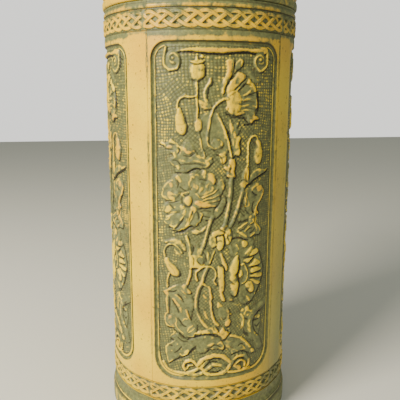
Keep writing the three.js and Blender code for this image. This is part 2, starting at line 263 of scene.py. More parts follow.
# the right-hand pilasters, most of all low down, are darker and greener: partly a film of wash left on them,
# partly painted shade on the side away from the key lamp
stand_place = add(glaze, "ShaderNodeSeparateXYZ", {0: place})
left_on = add(glaze, "ShaderNodeMapRange",
              {"Value": stand_place.outputs["X"], "From Min": FILM_SHADE_FROM * MM, "From Max": FILM_SHADE_WHOLE * MM})
past_pilaster = add(glaze, "ShaderNodeMapRange",
                    {"Value": stand_place.outputs["X"], "From Min": PILASTER_FROM * MM,
                     "From Max": PILASTER_TO * MM, "To Min": 1.0, "To Max": 0.15})
low_down = add(glaze, "ShaderNodeMapRange",
               {"Value": stand_place.outputs["Z"], "From Min": FILM_SHADE_LOW * MM, "From Max": FILM_SHADE_HIGH * MM,
                "To Min": 0.85, "To Max": 0.34})
patchy = add(glaze, "ShaderNodeMapRange", {"Value": clouds.outputs["Fac"], "From Min": 0.3, "From Max": 0.65,
                                           "To Min": -0.04, "To Max": -0.2})
filmed_and_shaded = add(glaze, "ShaderNodeMath", {0: left_on.outputs[0], 1: past_pilaster.outputs[0]},
             operation="MULTIPLY")
film_and_shade = add(glaze, "ShaderNodeMath", {0: filmed_and_shaded.outputs[0], 1: low_down.outputs[0]}, operation="MULTIPLY")
cream_filmed_and_shaded = add(glaze, "ShaderNodeMix", {0: film_and_shade.outputs[0], 6: cream_tan.outputs[2], 7: linear("6a784e")},
                   data_type="RGBA")
wiped_side = add(glaze, "ShaderNodeMath",
                 {0: filmed_and_shaded.outputs[0], 1: patchy.outputs[0], 2: wiped_uneven.outputs[0]},
                 operation="MULTIPLY_ADD")
wiped_share = add(glaze, "ShaderNodeMapRange",
                  {"Value": wiped_side.outputs[0], "From Min": 0.3, "From Max": 0.74},
                  interpolation_type="SMOOTHSTEP")
washed = add(glaze, "ShaderNodeMix", {0: wiped_share.outputs[0], 6: olive_shade.outputs[2],
                                      7: cream_filmed_and_shaded.outputs[2]}, data_type="RGBA")
thickness = add(glaze, "ShaderNodeMapRange",
                {"Value": smears.outputs["Fac"], "From Min": 0.25, "From Max": 0.6, "To Min": 0.7,
                 "To Max": 1.15})
# pooled wash in the sunk lines, together with painted shadow under the lower right of raised forms and
# strands
pooled_and_shadow = add(glaze, "ShaderNodeMath", {0: dark, 1: thickness.outputs[0]}, operation="MULTIPLY",
             use_clamp=True)
# a pit in the left-hand pilaster, where a grain burnt out
from_pit = add(glaze, "ShaderNodeVectorMath", {0: place, 1: [part * MM for part in PIT_PLACE]},
               operation="DISTANCE")
pit = add(glaze, "ShaderNodeMapRange",
          {"Value": from_pit.outputs["Value"], "From Min": PIT_FLOOR * MM, "From Max": PIT_RADIUS * MM,
           "To Min": 0.85, "To Max": 0.0})
blackened = add(glaze, "ShaderNodeMath", {0: pooled_and_shadow.outputs[0], 1: pit.outputs[0]}, operation="MAXIMUM")
lined = add(glaze, "ShaderNodeMix", {0: blackened.outputs[0], 6: washed.outputs[2], 7: linear("1d190e")},
            data_type="RGBA")
cracks = add(glaze, "ShaderNodeTexVoronoi", {"Vector": place, "Scale": 1 / (CRAZE_SIZE * MM)},
             feature="DISTANCE_TO_EDGE")
crazed = add(glaze, "ShaderNodeMapRange",
             {"Value": cracks.outputs["Distance"], "From Min": 0.0, "From Max": 0.035, "To Min": 0.22,
              "To Max": 0.0})
crackled = add(glaze, "ShaderNodeMix", {0: crazed.outputs[0], 6: lined.outputs[2], 7: linear("7d6232")},
               data_type="RGBA")
spots = add(glaze, "ShaderNodeTexNoise", {"Vector": place, "Scale": 1 / (SPECK_SIZE * MM), "Detail": 1})
speck = add(glaze, "ShaderNodeMapRange", {"Value": spots.outputs["Fac"], "From Min": 0.69, "From Max": 0.73,
                                          "To Min": 0.0, "To Max": 0.55})
specked = add(glaze, "ShaderNodeMix", {0: speck.outputs[0], 6: crackled.outputs[2], 7: linear("5d4422")},
              data_type="RGBA")
sheen = add(glaze, "ShaderNodeMapRange", {"Value": wiped_share.outputs[0], "To Min": 0.5, "To Max": 0.36})
skin = add(glaze, "ShaderNodeMath", {0: grit.outputs["Fac"], 1: 0.25, 2: smears.outputs["Fac"]},
           operation="MULTIPLY_ADD")
skin_bump = add(glaze, "ShaderNodeBump",
                {"Height": skin.outputs[0], "Strength": 0.35, "Distance": SKIN_DEPTH * MM})
glaze.node_tree.links.new(specked.outputs[2], glaze_shader.inputs["Base Color"])
glaze.node_tree.links.new(sheen.outputs[0], glaze_shader.inputs["Roughness"])
glaze.node_tree.links.new(skin_bump.outputs[0], glaze_shader.inputs["Normal"])
glaze_shader.inputs["IOR"].default_value = 1.5
glaze_shader.inputs["Specular IOR Level"].default_value = 0.32

foot_ring = moulding("foot_plinth", rounded(FOOT_PROFILE, 0.8, 3), RING_STEPS)
x, y, z = read_points(foot_ring.data).T
outside = np.hypot(x, y) > OUTER_SKIN
foot_wiped = 0.22 + 0.5 * along_line(z, FOOT_BEAD, 1.3) + 0.2 * along_line(z, FOOT_SHOULDER, 3)
foot_dark = 0.75 * along_line(z, FOOT_COVE, 0.9) + 0.5 * along_line(z, FOOT_JOINT, 0.5)
paint(foot_ring.data, wiped=np.where(outside, foot_wiped, 0.5), dark=np.where(outside, foot_dark, 0),
      tan=np.where(outside, 0.1, 0.3))
foot_ring.data.materials.append(glaze)
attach(foot_ring, "root")
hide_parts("foot_ring")

# Floor slab: a rolled slab of the buff clay that lies on the foot ring inside
# the walls and carries the umbrellas' tips. It is left bare, and its edge is
# rounded off a little.
FLOOR_LOW = 29.1
FLOOR_THICKNESS = 12
FLOOR_REACH = -12.3
FLOOR_STEPS = 192
FLOOR_DISC = 100
FLOOR_EDGE = 1.2

bpy.ops.object.select_all(action="DESELECT")
bpy.ops.mesh.primitive_cylinder_add(vertices=FLOOR_STEPS, radius=FLOOR_DISC * MM, depth=FLOOR_THICKNESS * MM)
floor_slab = bpy.context.object
floor_slab.name = floor_slab.data.name = "inner_floor"
bpy.ops.object.mode_set(mode="EDIT")
bpy.ops.mesh.select_all(action="SELECT")
bpy.ops.mesh.bevel(offset=FLOOR_EDGE * MM, segments=3)
bpy.ops.object.mode_set(mode="OBJECT")
x, y, z = read_points(floor_slab.data).T
turn = np.arctan2(x, -y)
write_points(floor_slab.data, turn, (plan(turn) + FLOOR_REACH) * np.hypot(x, y) / FLOOR_DISC,
             z + FLOOR_LOW + FLOOR_THICKNESS / 2)
bpy.ops.object.shade_smooth_by_angle(angle=radians(40))

# Bare clay: fired earthenware, wiped smooth with a sponge. Matt, with a sandy
# grain and a faint dust of the wash that ran down inside. The sizes are in
# mm, and the grain is drawn about three times too coarse, so that it shows.
SAND_SIZE = 1.1111
DUST_SIZE = 45.4545
GRAIN_DEPTH = 0.3

clay = bpy.data.materials.new("bare_buff_earthenware")
clay.use_nodes = True
clay_shader = clay.node_tree.nodes["Principled BSDF"]
place = add(clay, "ShaderNodeTexCoord").outputs["Object"]
sand = add(clay, "ShaderNodeTexNoise", {"Vector": place, "Scale": 1 / (SAND_SIZE * MM), "Detail": 3})
dust = add(clay, "ShaderNodeTexNoise", {"Vector": place, "Scale": 1 / (DUST_SIZE * MM), "Detail": 4})
dusty = add(clay, "ShaderNodeMix", {0: dust.outputs["Fac"], 6: linear("b9a277"), 7: linear("8f7d5a")},
            data_type="RGBA")
coarse = add(clay, "ShaderNodeMapRange",
             {"Value": sand.outputs["Fac"], "From Min": 0.5, "From Max": 0.75, "To Max": 0.4})
sandy = add(clay, "ShaderNodeMix", {0: coarse.outputs[0], 6: dusty.outputs[2], 7: linear("6f5c3e")},
            data_type="RGBA")
grain = add(clay, "ShaderNodeBump",
            {"Height": sand.outputs["Fac"], "Strength": 0.4, "Distance": GRAIN_DEPTH * MM})
clay.node_tree.links.new(sandy.outputs[2], clay_shader.inputs["Base Color"])
clay.node_tree.links.new(grain.outputs[0], clay_shader.inputs["Normal"])
clay_shader.inputs["Roughness"].default_value = 0.85
floor_slab.data.materials.append(clay)
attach(floor_slab, "root")
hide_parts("floor_slab")

# Walls: four sections pressed in a mould and luted together beside the front
# and the back face. Each carries the mouldings, the two braided bands and the
# sunk bed of a panel, with a groove round the bed.
WALL_BOTTOM = 29.1
WALL_TOP = 514.8
WALL_THICKNESS = 12
SEAM = 0.67561
SEAM_FROM = 69
SEAM_TO = 483
SEAM_SOFT = 0.03
JOINT = 0.3 / KINK_RADIUS
JOINT_INSET = 0.7
JOINT_WIDTH = 0.6
BRAID_BREAK = 0.852
BREAK_WIDTH = 1.9
PANEL_LOW = 78
PANEL_HIGH = 472.8
PANEL_HALF = 77
HIGH_CORNER = 19
LOW_CORNER = 28
BED_INSET = 5.2
BED_DEPTH = 6
GROOVE_DEPTH = 2.8
BRAID_TURNS = 12
BRAID_SWING = 7.6
BRAID_MARGIN = 1.4
BRAID_BED = -1.2
STRAND_RISE = 1.5
UNDER_BRAIDS = 45
OVER_BRAIDS = 506.5
WASH_FROM = 475.5
WASH_WHOLE = 480
FRONT_COLUMNS = 233
SIDE_COLUMNS = 289
INNER_ROWS = 14

# how far each part of the wall is wiped, from 0 for the whole wash to 1 for none
FRAME_WIPED = 0.93
COVE_WIPED = 0.16
TOP_WIPED = 0.22
GROOVE_WIPED = 0.22
STRAND_WIPED = 0.74
GAP_WIPED = 0.14
INNER_WIPED = 0.55
INNER_DARK = 0.1
INNER_TAN = 0.25

# the heights between which the wash or the tan on the wall changes, and over which the painted shadow at the
# groove's edge deepens: (from, to)
FRAME_TOP = (470, 474)
COVE_FOOT = (32, 29)
FILLET = (511, 509)
TANNED = (400, 470)
EDGE_LINE_SHADOWED = (442, 462)
JOINT_DARKER = (400, 450)

# how far inside the panel's outline the groove and the bed are cut: (from, to)
GROOVE_EDGE = (-0.6, 2.8)
BED_EDGE = (BED_INSET - 0.3, BED_INSET + 0.4)

# how ragged the luted joint is: (how far, over how much height, shifted by)
RAGGED = ((0.35, 2.3, 0), (0.3, 5.9, 1), (0.25, 1.1, 2))

# the braids, the lower one of corded strands: (lower edge, upper edge, strand's width, furrow along it, how
# much more olive its upper half is, dark in the gaps, how tan)
BRAIDS = (
    (45.6, 68.4, 4.136, 0.3, 0.08, 0.4, 0.15),
    (483.6, 506.4, 4.7, 0.16, 0.3, 0.15, 0.35),
)

# the sunk lines beside the braids and under the rim: (height, how dark the wash is)
SUNK_LINES = ((46.1, 0.8), (68.1, 0.75), (484.1, 0.75), (506.1, 0.9), (512.6, 0.5))

# the rows of the outer face, closest in the braids and at the panel's corners:
# (from, to, apart)
OUTER_ROWS = (
    (29.1, 45, 1.3), (45.1, 69, 0.55), (69.5, 110, 1.1), (112, 448, 4.2), (450, 483, 0.8),
    (483.2, 507.5, 0.55), (507.9, 514.8, 0.8),
)

# the moulded face from the bottom up: (height, proud of the plain face)
MOULDED = [
    (29.1, 0.8), (30.4, 0.2), (31.6, -1.1), (34, -1.6), (36, -1.8), (39, -1.7), (42, -1.3), (44.2, -0.5),
    (45.1, 0.1), (45.6, -0.9), (46.6, -0.9), (48, 0), (66, 0), (67.4, -0.9), (68.4, -0.9), (69, 0), (71, 0.1),
    (481, 0.1), (483, 0), (483.6, -0.9), (484.6, -0.9), (486, 0), (504, 0), (505.4, -0.9), (506.4, -0.9),
    (507, 0.1), (508, 0.4), (509.8, 0.4), (510.8, -0.2), (511.6, -0.8), (514.8, -0.8),
]


def outline_gap(along, height, inset=0.0):
    """How far a point lies inside the panel's rounded outline, in mm, drawn in by an inset."""
    middle = (PANEL_LOW + PANEL_HIGH) / 2
    corner = np.where(height > middle, HIGH_CORNER, LOW_CORNER) - inset
    reach_across = np.abs(along) - (PANEL_HALF - inset - corner)
    reach_up = np.abs(height - middle) - ((PANEL_HIGH - PANEL_LOW) / 2 - inset - corner)
    beyond = np.hypot(np.maximum(reach_across, 0), np.maximum(reach_up, 0))
    return corner - beyond - np.minimum(np.maximum(reach_across, reach_up), 0)


def ease(low, high, value):
    """0 below the first value, 1 above the second and a soft step between."""
    share = np.clip((value - low) / (high - low), 0, 1)
    return share * share * (3 - 2 * share)


def braid(turn, height, width, furrow):
    """The four-strand braid: how far each point stands proud, and how far it is wiped and dark."""
    proud = np.full(turn.shape, BRAID_BED)
    crown = np.zeros(turn.shape)
    edge = np.zeros(turn.shape)
    for strand in range(4):
        phase = turn * BRAID_TURNS + strand * pi / 2
        slope = BRAID_SWING * BRAID_TURNS / KINK_RADIUS * np.cos(phase)
        gap = (height - BRAID_SWING * np.sin(phase)) / np.sqrt(1 + slope ** 2)
        across = np.abs(gap) / (width / 2)
        section = np.sqrt(np.clip(1 - across ** 3, 0, 1))
        section = section - furrow * along_line(across, 0, 0.28) * (across < 1)
        over = BRAID_BED + (STRAND_RISE + 0.75 * np.cos(3 * phase)) * section + 0.25 * section
        top = (over > proud) & (across < 1)
        proud = np.where(top, over, proud)
        crown = np.where(top, section, crown)
        # the strands' edges are dark with pooled wash, and the lower edge is darker still as painted shadow
        edge = np.where(top, across ** 4 * np.where(gap < 0, 1, 0.4), edge)
    return proud, crown, edge


def wall_face(turn, height, half_turn):
    """The wall's outer face at an angle from its face's middle: proud, wiped, dark and tan."""
    along = turn * KINK_RADIUS
    levels, depths = np.array(MOULDED).T
    proud = np.interp(height, levels, depths)
    on_face = ease(SEAM + SEAM_SOFT, SEAM - SEAM_SOFT, np.abs(turn))
    higher = 3 * (1 - on_face)
    wiped = FRAME_WIPED - 0.2 * on_face * ease(*FRAME_TOP, height)
    wiped -= (0.42 + 0.09 * on_face) * ease(WASH_FROM + higher, WASH_WHOLE + 0.6 * higher, height)
    wiped = np.where(height < UNDER_BRAIDS, COVE_WIPED + 0.12 * ease(*COVE_FOOT, height), wiped)
    fillet_wiped = (0.2 + 0.13 * on_face) * ease(*FILLET, height)
    wiped = np.where(height > OVER_BRAIDS, TOP_WIPED + fillet_wiped, wiped)
    dark = np.zeros(turn.shape)
    tan = 0.12 + 0.25 * ease(*TANNED, height)
    for line, deep in SUNK_LINES:
        dark = np.maximum(dark, deep * along_line(height, line, 0.75))
    for low, high, width, furrow, upper_olive, gap_dark, warmth in BRAIDS:
        level = height - (low + high) / 2
        band = np.abs(level) < (high - low) / 2 - BRAID_MARGIN
        relief, crown, edge = braid(turn, level, width, furrow)
        smeared = along_line(np.abs(turn) * KINK_RADIUS, BRAID_BREAK * KINK_RADIUS, BREAK_WIDTH)
        relief = relief * (1 - 0.8 * smeared)
        proud = np.where(band, relief, proud)
        clean = STRAND_WIPED - upper_olive * ease(2, 9, level)
        wiped = np.where(band, GAP_WIPED + clean * crown ** 2 * (1 - 0.7 * smeared), wiped)
        dark = np.where(band, 0.85 * edge * (1 - smeared) + gap_dark * (crown == 0), dark)
        tan = np.where(band, warmth * crown, tan)
    inside = outline_gap(along, height)
    cut = ease(*GROOVE_EDGE, inside)
    drop = ease(*BED_EDGE, inside)
    proud = proud - GROOVE_DEPTH * cut - (BED_DEPTH - GROOVE_DEPTH) * drop
    near = np.exp(-np.clip(-inside, 0, None) / 1.6)
    wiped = np.where(inside > 0, GROOVE_WIPED, wiped - 0.25 * near)
    # a dark line along the groove's outer edge, partly pooled wash, deepened towards the top as painted
    # shadow from the frame above
    edge_line = (0.34 + 0.66 * ease(*EDGE_LINE_SHADOWED, height)) * along_line(inside, 0.6, 0.85)
    dark = np.maximum(dark, edge_line)

    # the luted joint: a ragged line of wash just inside the section's edge
    ragged = sum(far * np.sin(height / rise + shift) for far, rise, shift in RAGGED)
    joint = half_turn * KINK_RADIUS - np.abs(along) - JOINT_INSET - ragged
    traced = along_line(joint, 0, JOINT_WIDTH)
    traced *= 0.4 + 0.3 * np.sin(height / 17) + 0.3 * ease(*JOINT_DARKER, height)
    traced = np.where((height > SEAM_FROM) & (height < SEAM_TO), traced, 0)
    return proud, wiped - 0.8 * traced, np.maximum(dark, 0.35 * traced), tan


def wall(name, half_turn, columns):
    """One wall section, half_turn to each side of its face's middle, facing front."""
    outer = np.concatenate([np.arange(low, high, apart) for low, high, apart in OUTER_ROWS] + [[WALL_TOP]])
    inner = np.linspace(WALL_TOP, WALL_BOTTOM, INNER_ROWS)
    heights = np.concatenate((outer, inner, [WALL_BOTTOM]))
    rows = len(heights)
    bpy.ops.object.select_all(action="DESELECT")
    bpy.ops.mesh.primitive_grid_add(x_subdivisions=columns - 1, y_subdivisions=rows - 1, size=1)
    piece = bpy.context.object
    piece.name = piece.data.name = name
    x, y, z = (read_points(piece.data) * MM).T
    column = np.round((x + 0.5) * (columns - 1)).astype(int)
    row = np.round((y + 0.5) * (rows - 1)).astype(int)
    turn = np.linspace(-half_turn, half_turn, columns)[column]
    height = heights[row]
    proud, wiped, dark, tan = wall_face(turn, height, half_turn)
    inside = (row >= len(outer)) & (row < rows - 1)
    proud = np.where(inside, -WALL_THICKNESS, proud)
    write_points(piece.data, turn, plan(turn) + proud, height)
    paint(piece.data, wiped=np.where(inside, INNER_WIPED, wiped), dark=np.where(inside, INNER_DARK, dark),
          tan=np.where(inside, INNER_TAN, tan))
    bpy.ops.object.mode_set(mode="EDIT")
    bpy.ops.mesh.select_all(action="SELECT")
    bpy.ops.mesh.remove_doubles(threshold=0.001 * MM)
    bpy.ops.mesh.select_all(action="DESELECT")
    bpy.ops.mesh.select_non_manifold()
    bpy.ops.mesh.edge_face_add()
    bpy.ops.mesh.select_all(action="SELECT")
    bpy.ops.mesh.normals_make_consistent(inside=False)
    bpy.ops.object.mode_set(mode="OBJECT")
    bpy.ops.object.shade_smooth_by_angle(angle=radians(50))
    piece.data.materials.append(glaze)
    return piece


def turned_copy(original, name, quarters):
    """A copy with its own mesh, turned about the axis by quarter turns."""
    bpy.ops.object.select_all(action="DESELECT")
    piece = original.copy()
    piece.data = original.data.copy()
    piece.name = piece.data.name = name
    bpy.context.collection.objects.link(piece)
    piece.select_set(True)
    bpy.context.view_layer.objects.active = piece
    piece.rotation_euler.z = quarters * pi / 2
    bpy.ops.object.transform_apply(location=False, rotation=True, scale=False)
    return piece


SIDES = ("front", "right", "back", "left")
face_wall = wall("pressed_wall_front", SEAM - JOINT / 2, FRONT_COLUMNS)
side_pattern = wall("pressed_wall_pattern", pi / 2 - SEAM - JOINT / 2, SIDE_COLUMNS)
for quarters, side in enumerate(SIDES):
    if side == "front":
        piece = face_wall
    else:
        piece = turned_copy(side_pattern if quarters % 2 else face_wall, "pressed_wall_" + side, quarters)
    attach(piece, "root")
    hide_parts("wall_" + side)
bpy.data.objects.remove(side_pattern)

# Poppy panels: a thin sheet of clay pressed in a carved mould, laid in each
# wall's bed. The spray of poppies, the scrolled ribbon and the bead at the
# sheet's edge stand about 2 mm out of a stippled ground.
SHEET_INSET = 3.5
FLANGE = 2.3
GROUND = -2.2
FLANGE_BACK = -2.7
SHEET_BACK = -5.7
BEAD_FROM = 0.5
BEAD_RISE = 1.6
BEAD_HALF = 0.6
BEAD_THICKER = 0.9
CORNER_STEP = 0.8
SHEET_ROWS = 418
SHEET_COLUMNS = 161
EDGE_COLUMNS = (0, 0.45, 0.9, 1.35, 1.8, 2.3, 2.9, 3.6)
EDGE_WIDTH = 4.4

# the sheet is worked out as charts of its relief and its glaze, on points this
# far apart in mm, from edge to edge and from bottom to top
GRID_STEP = 0.4
CHART_HALF = 74
CHART_LOW = 81
CHART_HIGH = 470

across = np.arange(-CHART_HALF, CHART_HALF + 0.01, GRID_STEP)
upward = np.arange(CHART_LOW, CHART_HIGH + 0.01, GRID_STEP)
u, v = np.meshgrid(across, upward)
# the charts of relief, of tone with painted highlights, of tan, and of pooled wash with painted shadow
relief = np.zeros(u.shape)
bright = np.zeros(u.shape)
tinted = np.zeros(u.shape)
inked_and_shadowed = np.zeros(u.shape)


def curved(points, closed=False):
    """A smooth line through the points."""
    points = np.array(points, dtype=float)
    if closed:
        points = np.vstack((points[-1:], points, points[:2]))
    else:
        points = np.vstack((2 * points[0] - points[1], points, 2 * points[-1] - points[-2]))
    share = np.linspace(0, 1, 6)[:-1, None]
    line = []
    for a, b, c, d in zip(points, points[1:], points[2:], points[3:]):
        line.append(0.5 * (2 * b + (c - a) * share + (2 * a - 5 * b + 4 * c - d) * share ** 2
                           + (3 * b - a - 3 * c + d) * share ** 3))
    line = np.vstack(line)
    return line if closed else np.vstack((line, points[-2:-1]))


def measure(line, reach, closed=False):
    """The part of the panel near a line: its place, and each point's distance from the line, share along it,
    whether the line goes round it, and how far the surface there would face the lower right."""
    (u0, v0), (u1, v1) = line.min(0) - reach, line.max(0) + reach
    columns = slice(*np.searchsorted(across, (u0, u1)))
    rows = slice(*np.searchsorted(upward, (v0, v1)))
    near_u, near_v = u[rows, columns], v[rows, columns]
    gap = np.full(near_u.shape, 1e3)
    share = np.zeros(gap.shape)
    around = np.zeros(gap.shape, dtype=bool)
    ends = np.roll(line, -1, 0) if closed else line[1:]
    lengths = np.hypot(*(ends - line[:len(ends)]).T)
    starts = np.concatenate(([0], np.cumsum(lengths)))
    for (ua, va), (ub, vb), length, start in zip(line, ends, lengths, starts):
        if length == 0:
            continue
        foot = np.clip(((near_u - ua) * (ub - ua) + (near_v - va) * (vb - va)) / length ** 2, 0, 1)
        distance = np.hypot(near_u - ua - foot * (ub - ua), near_v - va - foot * (vb - va))
        share = np.where(distance < gap, (start + foot * length) / starts[-1], share)
        gap = np.minimum(gap, distance)
        if closed and va != vb:
            crossing = (near_v > min(va, vb)) & (near_v <= max(va, vb))
            around ^= crossing & (near_u < ua + (near_v - va) / (vb - va) * (ub - ua))
    slope_v, slope_u = np.gradient(gap, GRID_STEP)
    facing = 0.7 * (slope_u - slope_v) * np.where(around, -1, 1)
    return (rows, columns), gap, share, around, facing


def form(outline, rise, edge=1.6, dish=0.0, tone=0.0, tint=0.0, lip=0.0, under=0.6, soft=True):
    """A raised form laid over what is under it: rounded at its edge, hollowed by dish, with a painted
    highlight along its upper left edge, and painted shadow, partly pooled wash, under its lower right."""
    line = curved(outline, closed=True) if soft else np.array(outline, dtype=float)
    part, gap, share, inside, facing = measure(line, 3, closed=True)
    shoulder = np.clip(gap / edge, 0, 1)
    height = rise * np.sqrt(1 - (1 - shoulder) ** 2) - dish * ease(0.7 * edge, 4 * edge, gap)
    relief[part] = np.where(inside, np.maximum(height, 0.15), relief[part])
    # painted highlight along the edge facing the upper left, on the form's lip
    rim = lip * ease(2.2, 0.7, gap) * ease(1.0, -0.5, facing)
    bright[part] = np.where(inside, tone + rim, bright[part])
    tinted[part] = np.where(inside, tint, tinted[part])
    # painted shadow, partly pooled wash, round the edge facing the lower right
    pool_and_shadow = under * ease(2.4, 0.4, gap) * ease(-0.2, 0.7, facing)
    relief[part] -= np.where(inside, 0, 0.3 * pool_and_shadow)
    inked_and_shadowed[part] = np.where(inside, 0, np.maximum(inked_and_shadowed[part], pool_and_shadow))


def stem(points, width, rise=1.9, tone=0.22, tint=0.0, taper=0.0, under=0.7, hollow=0.0):
    """A round strip laid over what is under it, hollowed along its middle where it is a ribbon."""
    part, gap, share, inside, facing = measure(curved(points), width + 2)
    half = width / 2 * (1 - taper * share)
    height = rise * np.sqrt(np.clip(1 - (gap / half) ** 2, 0, 1))
    furrow = hollow * np.exp(-(gap / half / 0.42) ** 2)
    height = height * (1 - 0.45 * furrow)
    higher = (gap < half) & (height + 0.3 + furrow > relief[part])
    relief[part] = np.where(higher, height + 0.3, relief[part])
    # painted highlight on the side facing the upper left and painted shade on the side facing the lower right
    bright[part] = np.where(higher, tone - 0.35 * facing * gap / half - 0.5 * furrow, bright[part])
    tinted[part] = np.where(higher, tint, tinted[part])
    # painted shadow, partly pooled wash, beside the side facing the lower right
    pool_and_shadow = under * ease(half + 1.9, half + 0.2, gap) * ease(-0.1, 0.7, facing)
    inked_and_shadowed[part] = np.where(higher, 0, np.maximum(inked_and_shadowed[part], pool_and_shadow))


def patches(outlines, rise=0.45, tone=0.5, tint=0.0, edge=1.3):
    """Low swellings of a form, which the sponge wiped clean."""
    for outline in outlines:
        part, gap, share, inside, facing = measure(curved(outline, closed=True), 1, closed=True)
        swell = ease(0, edge, gap + 0.3) * inside
        relief[part] += rise * swell
        bright[part] += tone * swell
        tinted[part] = np.maximum(tinted[part], tint * swell)
        inked_and_shadowed[part] *= 1 - swell


def ridges(lines, width=2.4, rise=0.7, tone=0.45, tint=0.0):
    """Raised lines on a form, thin at both ends."""
    for points in lines:
        part, gap, share, inside, facing = measure(curved(points), width)
        half = 0.54 * width * np.sqrt(np.clip(1.2 - (2 * share - 1) ** 2, 0, 1))
        crest = np.clip(1 - (gap / half) ** 2, 0, 1)
        relief[part] += rise * crest
        bright[part] += tone * crest
        tinted[part] = np.maximum(tinted[part], tint * crest)
        inked_and_shadowed[part] *= 1 - crest


def cuts(lines, width=2.0, depth=0.8, ink=0.85):
    """Sunk lines and undercuts where the wash pooled."""
    for points in lines:
        part, gap, share, inside, facing = measure(curved(points), width)
        half = width / 2 * np.sqrt(np.clip(1.1 - (2 * share - 1) ** 4, 0, 1))
        trough = np.clip(1.2 - 1.2 * (gap / half) ** 2, 0, 1)
        relief[part] -= depth * trough
        inked_and_shadowed[part] = np.maximum(inked_and_shadowed[part], ink * trough)


# the left serrated leaf
form([(-67, 365.5), (-60, 364), (-57, 366), (-53.5, 370), (-50, 366.5), (-46, 362), (-41, 360), (-38, 365),
      (-31, 366), (-26.5, 356), (-24, 352), (-18, 350), (-8, 349), (-6, 344), (-12, 338), (-20, 337),
      (-25, 337), (-29, 335.5), (-32, 333.5), (-36, 332), (-44, 332), (-48.5, 333), (-47, 338), (-50, 339),
      (-53, 341), (-56.5, 346), (-50, 350), (-56, 355), (-60, 360)], 1.3, edge=1.2, dish=0.4, tone=-0.15,
     lip=0.25, soft=False)
patches([[(-68, 365), (-65, 366.4), (-62, 365.4), (-59.6, 361), (-64, 362.4)],
         [(-56, 366), (-53.5, 370), (-50, 367), (-47.6, 365), (-51, 364.2)],
         [(-55, 347), (-52.6, 348.4), (-49, 350.4), (-51, 350.8), (-55.4, 349)],
         [(-15.6, 346.6), (-12, 346.4), (-9.6, 342), (-13.6, 340.6)],
         [(-24, 353), (-20.8, 352.4), (-21, 350), (-24, 350)],
         [(-49, 339), (-46, 340), (-43.6, 334), (-46.4, 334.6)]], tone=0.6)
patches([[(-41, 346), (-37, 347.4), (-35.6, 343), (-40, 342)],
         [(-47, 358), (-43, 356.6), (-42, 352), (-46, 352)]], tone=0.2, rise=0.2)
patches([[(-58.6, 361.6), (-54, 363), (-51.4, 361), (-54, 358.6), (-58.6, 358.8)]], tone=0.45, tint=0.8,
        rise=0.6)
ridges([[(-48, 365.5), (-46.4, 363), (-45.5, 361)], [(-50, 355), (-50.4, 352), (-49, 349)],
        [(-56, 345), (-53, 342.6), (-50.4, 340)],
        [(-38, 365), (-34, 368), (-30, 367.6), (-29, 363), (-26.5, 356)],
        [(-35, 343.5), (-30, 345.2), (-24, 345.2), (-15, 343)], [(-14, 345), (-10, 347.6), (-7, 349)],
        [(-46, 362), (-43, 360.6), (-40, 360)]], width=2.2)
form([(-40.4, 360.4), (-35, 359.8), (-32, 359.6), (-26.6, 356.4), (-29.4, 354.4), (-35, 353.2), (-39, 355)],
     1.9, edge=2, tone=0.3, tint=0.75)
cuts([[(-49.6, 332.4), (-45, 331), (-36, 331), (-32, 333), (-29, 335), (-25, 336), (-19, 336)]], width=2.8,
     depth=1)
cuts([[(-61.4, 358.4), (-57, 357.2), (-51.4, 357)], [(-68, 363), (-64, 361), (-61, 359.4)],
      [(-56, 351.6), (-52, 352.6)], [(-46, 361), (-44, 356), (-46, 352)],
      [(-27, 353.4), (-33, 350.6), (-40, 351)], [(-56, 363.6), (-50, 363)],
      [(-44, 340), (-36, 341.6), (-24, 342), (-14, 340)], [(-52, 346), (-47, 344.6), (-42, 339)]],
     width=1.8)

# the smooth leaf and the serrated leaf behind the middle stems
form([(-20, 392), (-14, 398), (-8, 396), (-9, 380), (-11, 368), (-15, 357), (-19, 364), (-21, 380)], 0.9,
     dish=0.3, tone=-0.15, lip=0.1, under=0.3)
form([(-10, 398), (-4, 398), (2, 392), (8, 380), (10, 368), (12, 358), (8, 352), (0, 356), (-7, 360),
      (-11, 372)], 1.0, dish=0.3, tone=-0.15, lip=0.15)
form([(12, 392), (17, 384), (24, 388), (22, 380), (27, 381), (22, 372), (27, 370), (24, 363), (27, 356),
      (25, 350), (20, 352), (17, 360), (14, 374)], 1.2, edge=1.2, tone=0.0, lip=0.3, soft=False)
patches([[(11.6, 385), (16, 386), (17.6, 380), (13.6, 376.6)],
         [(20, 361), (22.4, 368), (26, 363), (25, 351), (22, 353)],
         [(17, 376), (20, 378), (21, 372), (18, 370)]], tone=0.45, tint=0.25)
form([(1, 353), (5, 353.6), (8.6, 350), (8.6, 345), (5, 341.6), (1, 347)], 1.5, tone=0.35, lip=0.2)
cuts([[(27.6, 368), (26.6, 360), (28, 350)], [(14.6, 362), (13, 370), (10.6, 378)],
      [(18, 348), (22, 349.6), (26, 348)], [(-4, 352), (2, 350), (6, 340)]], width=2)

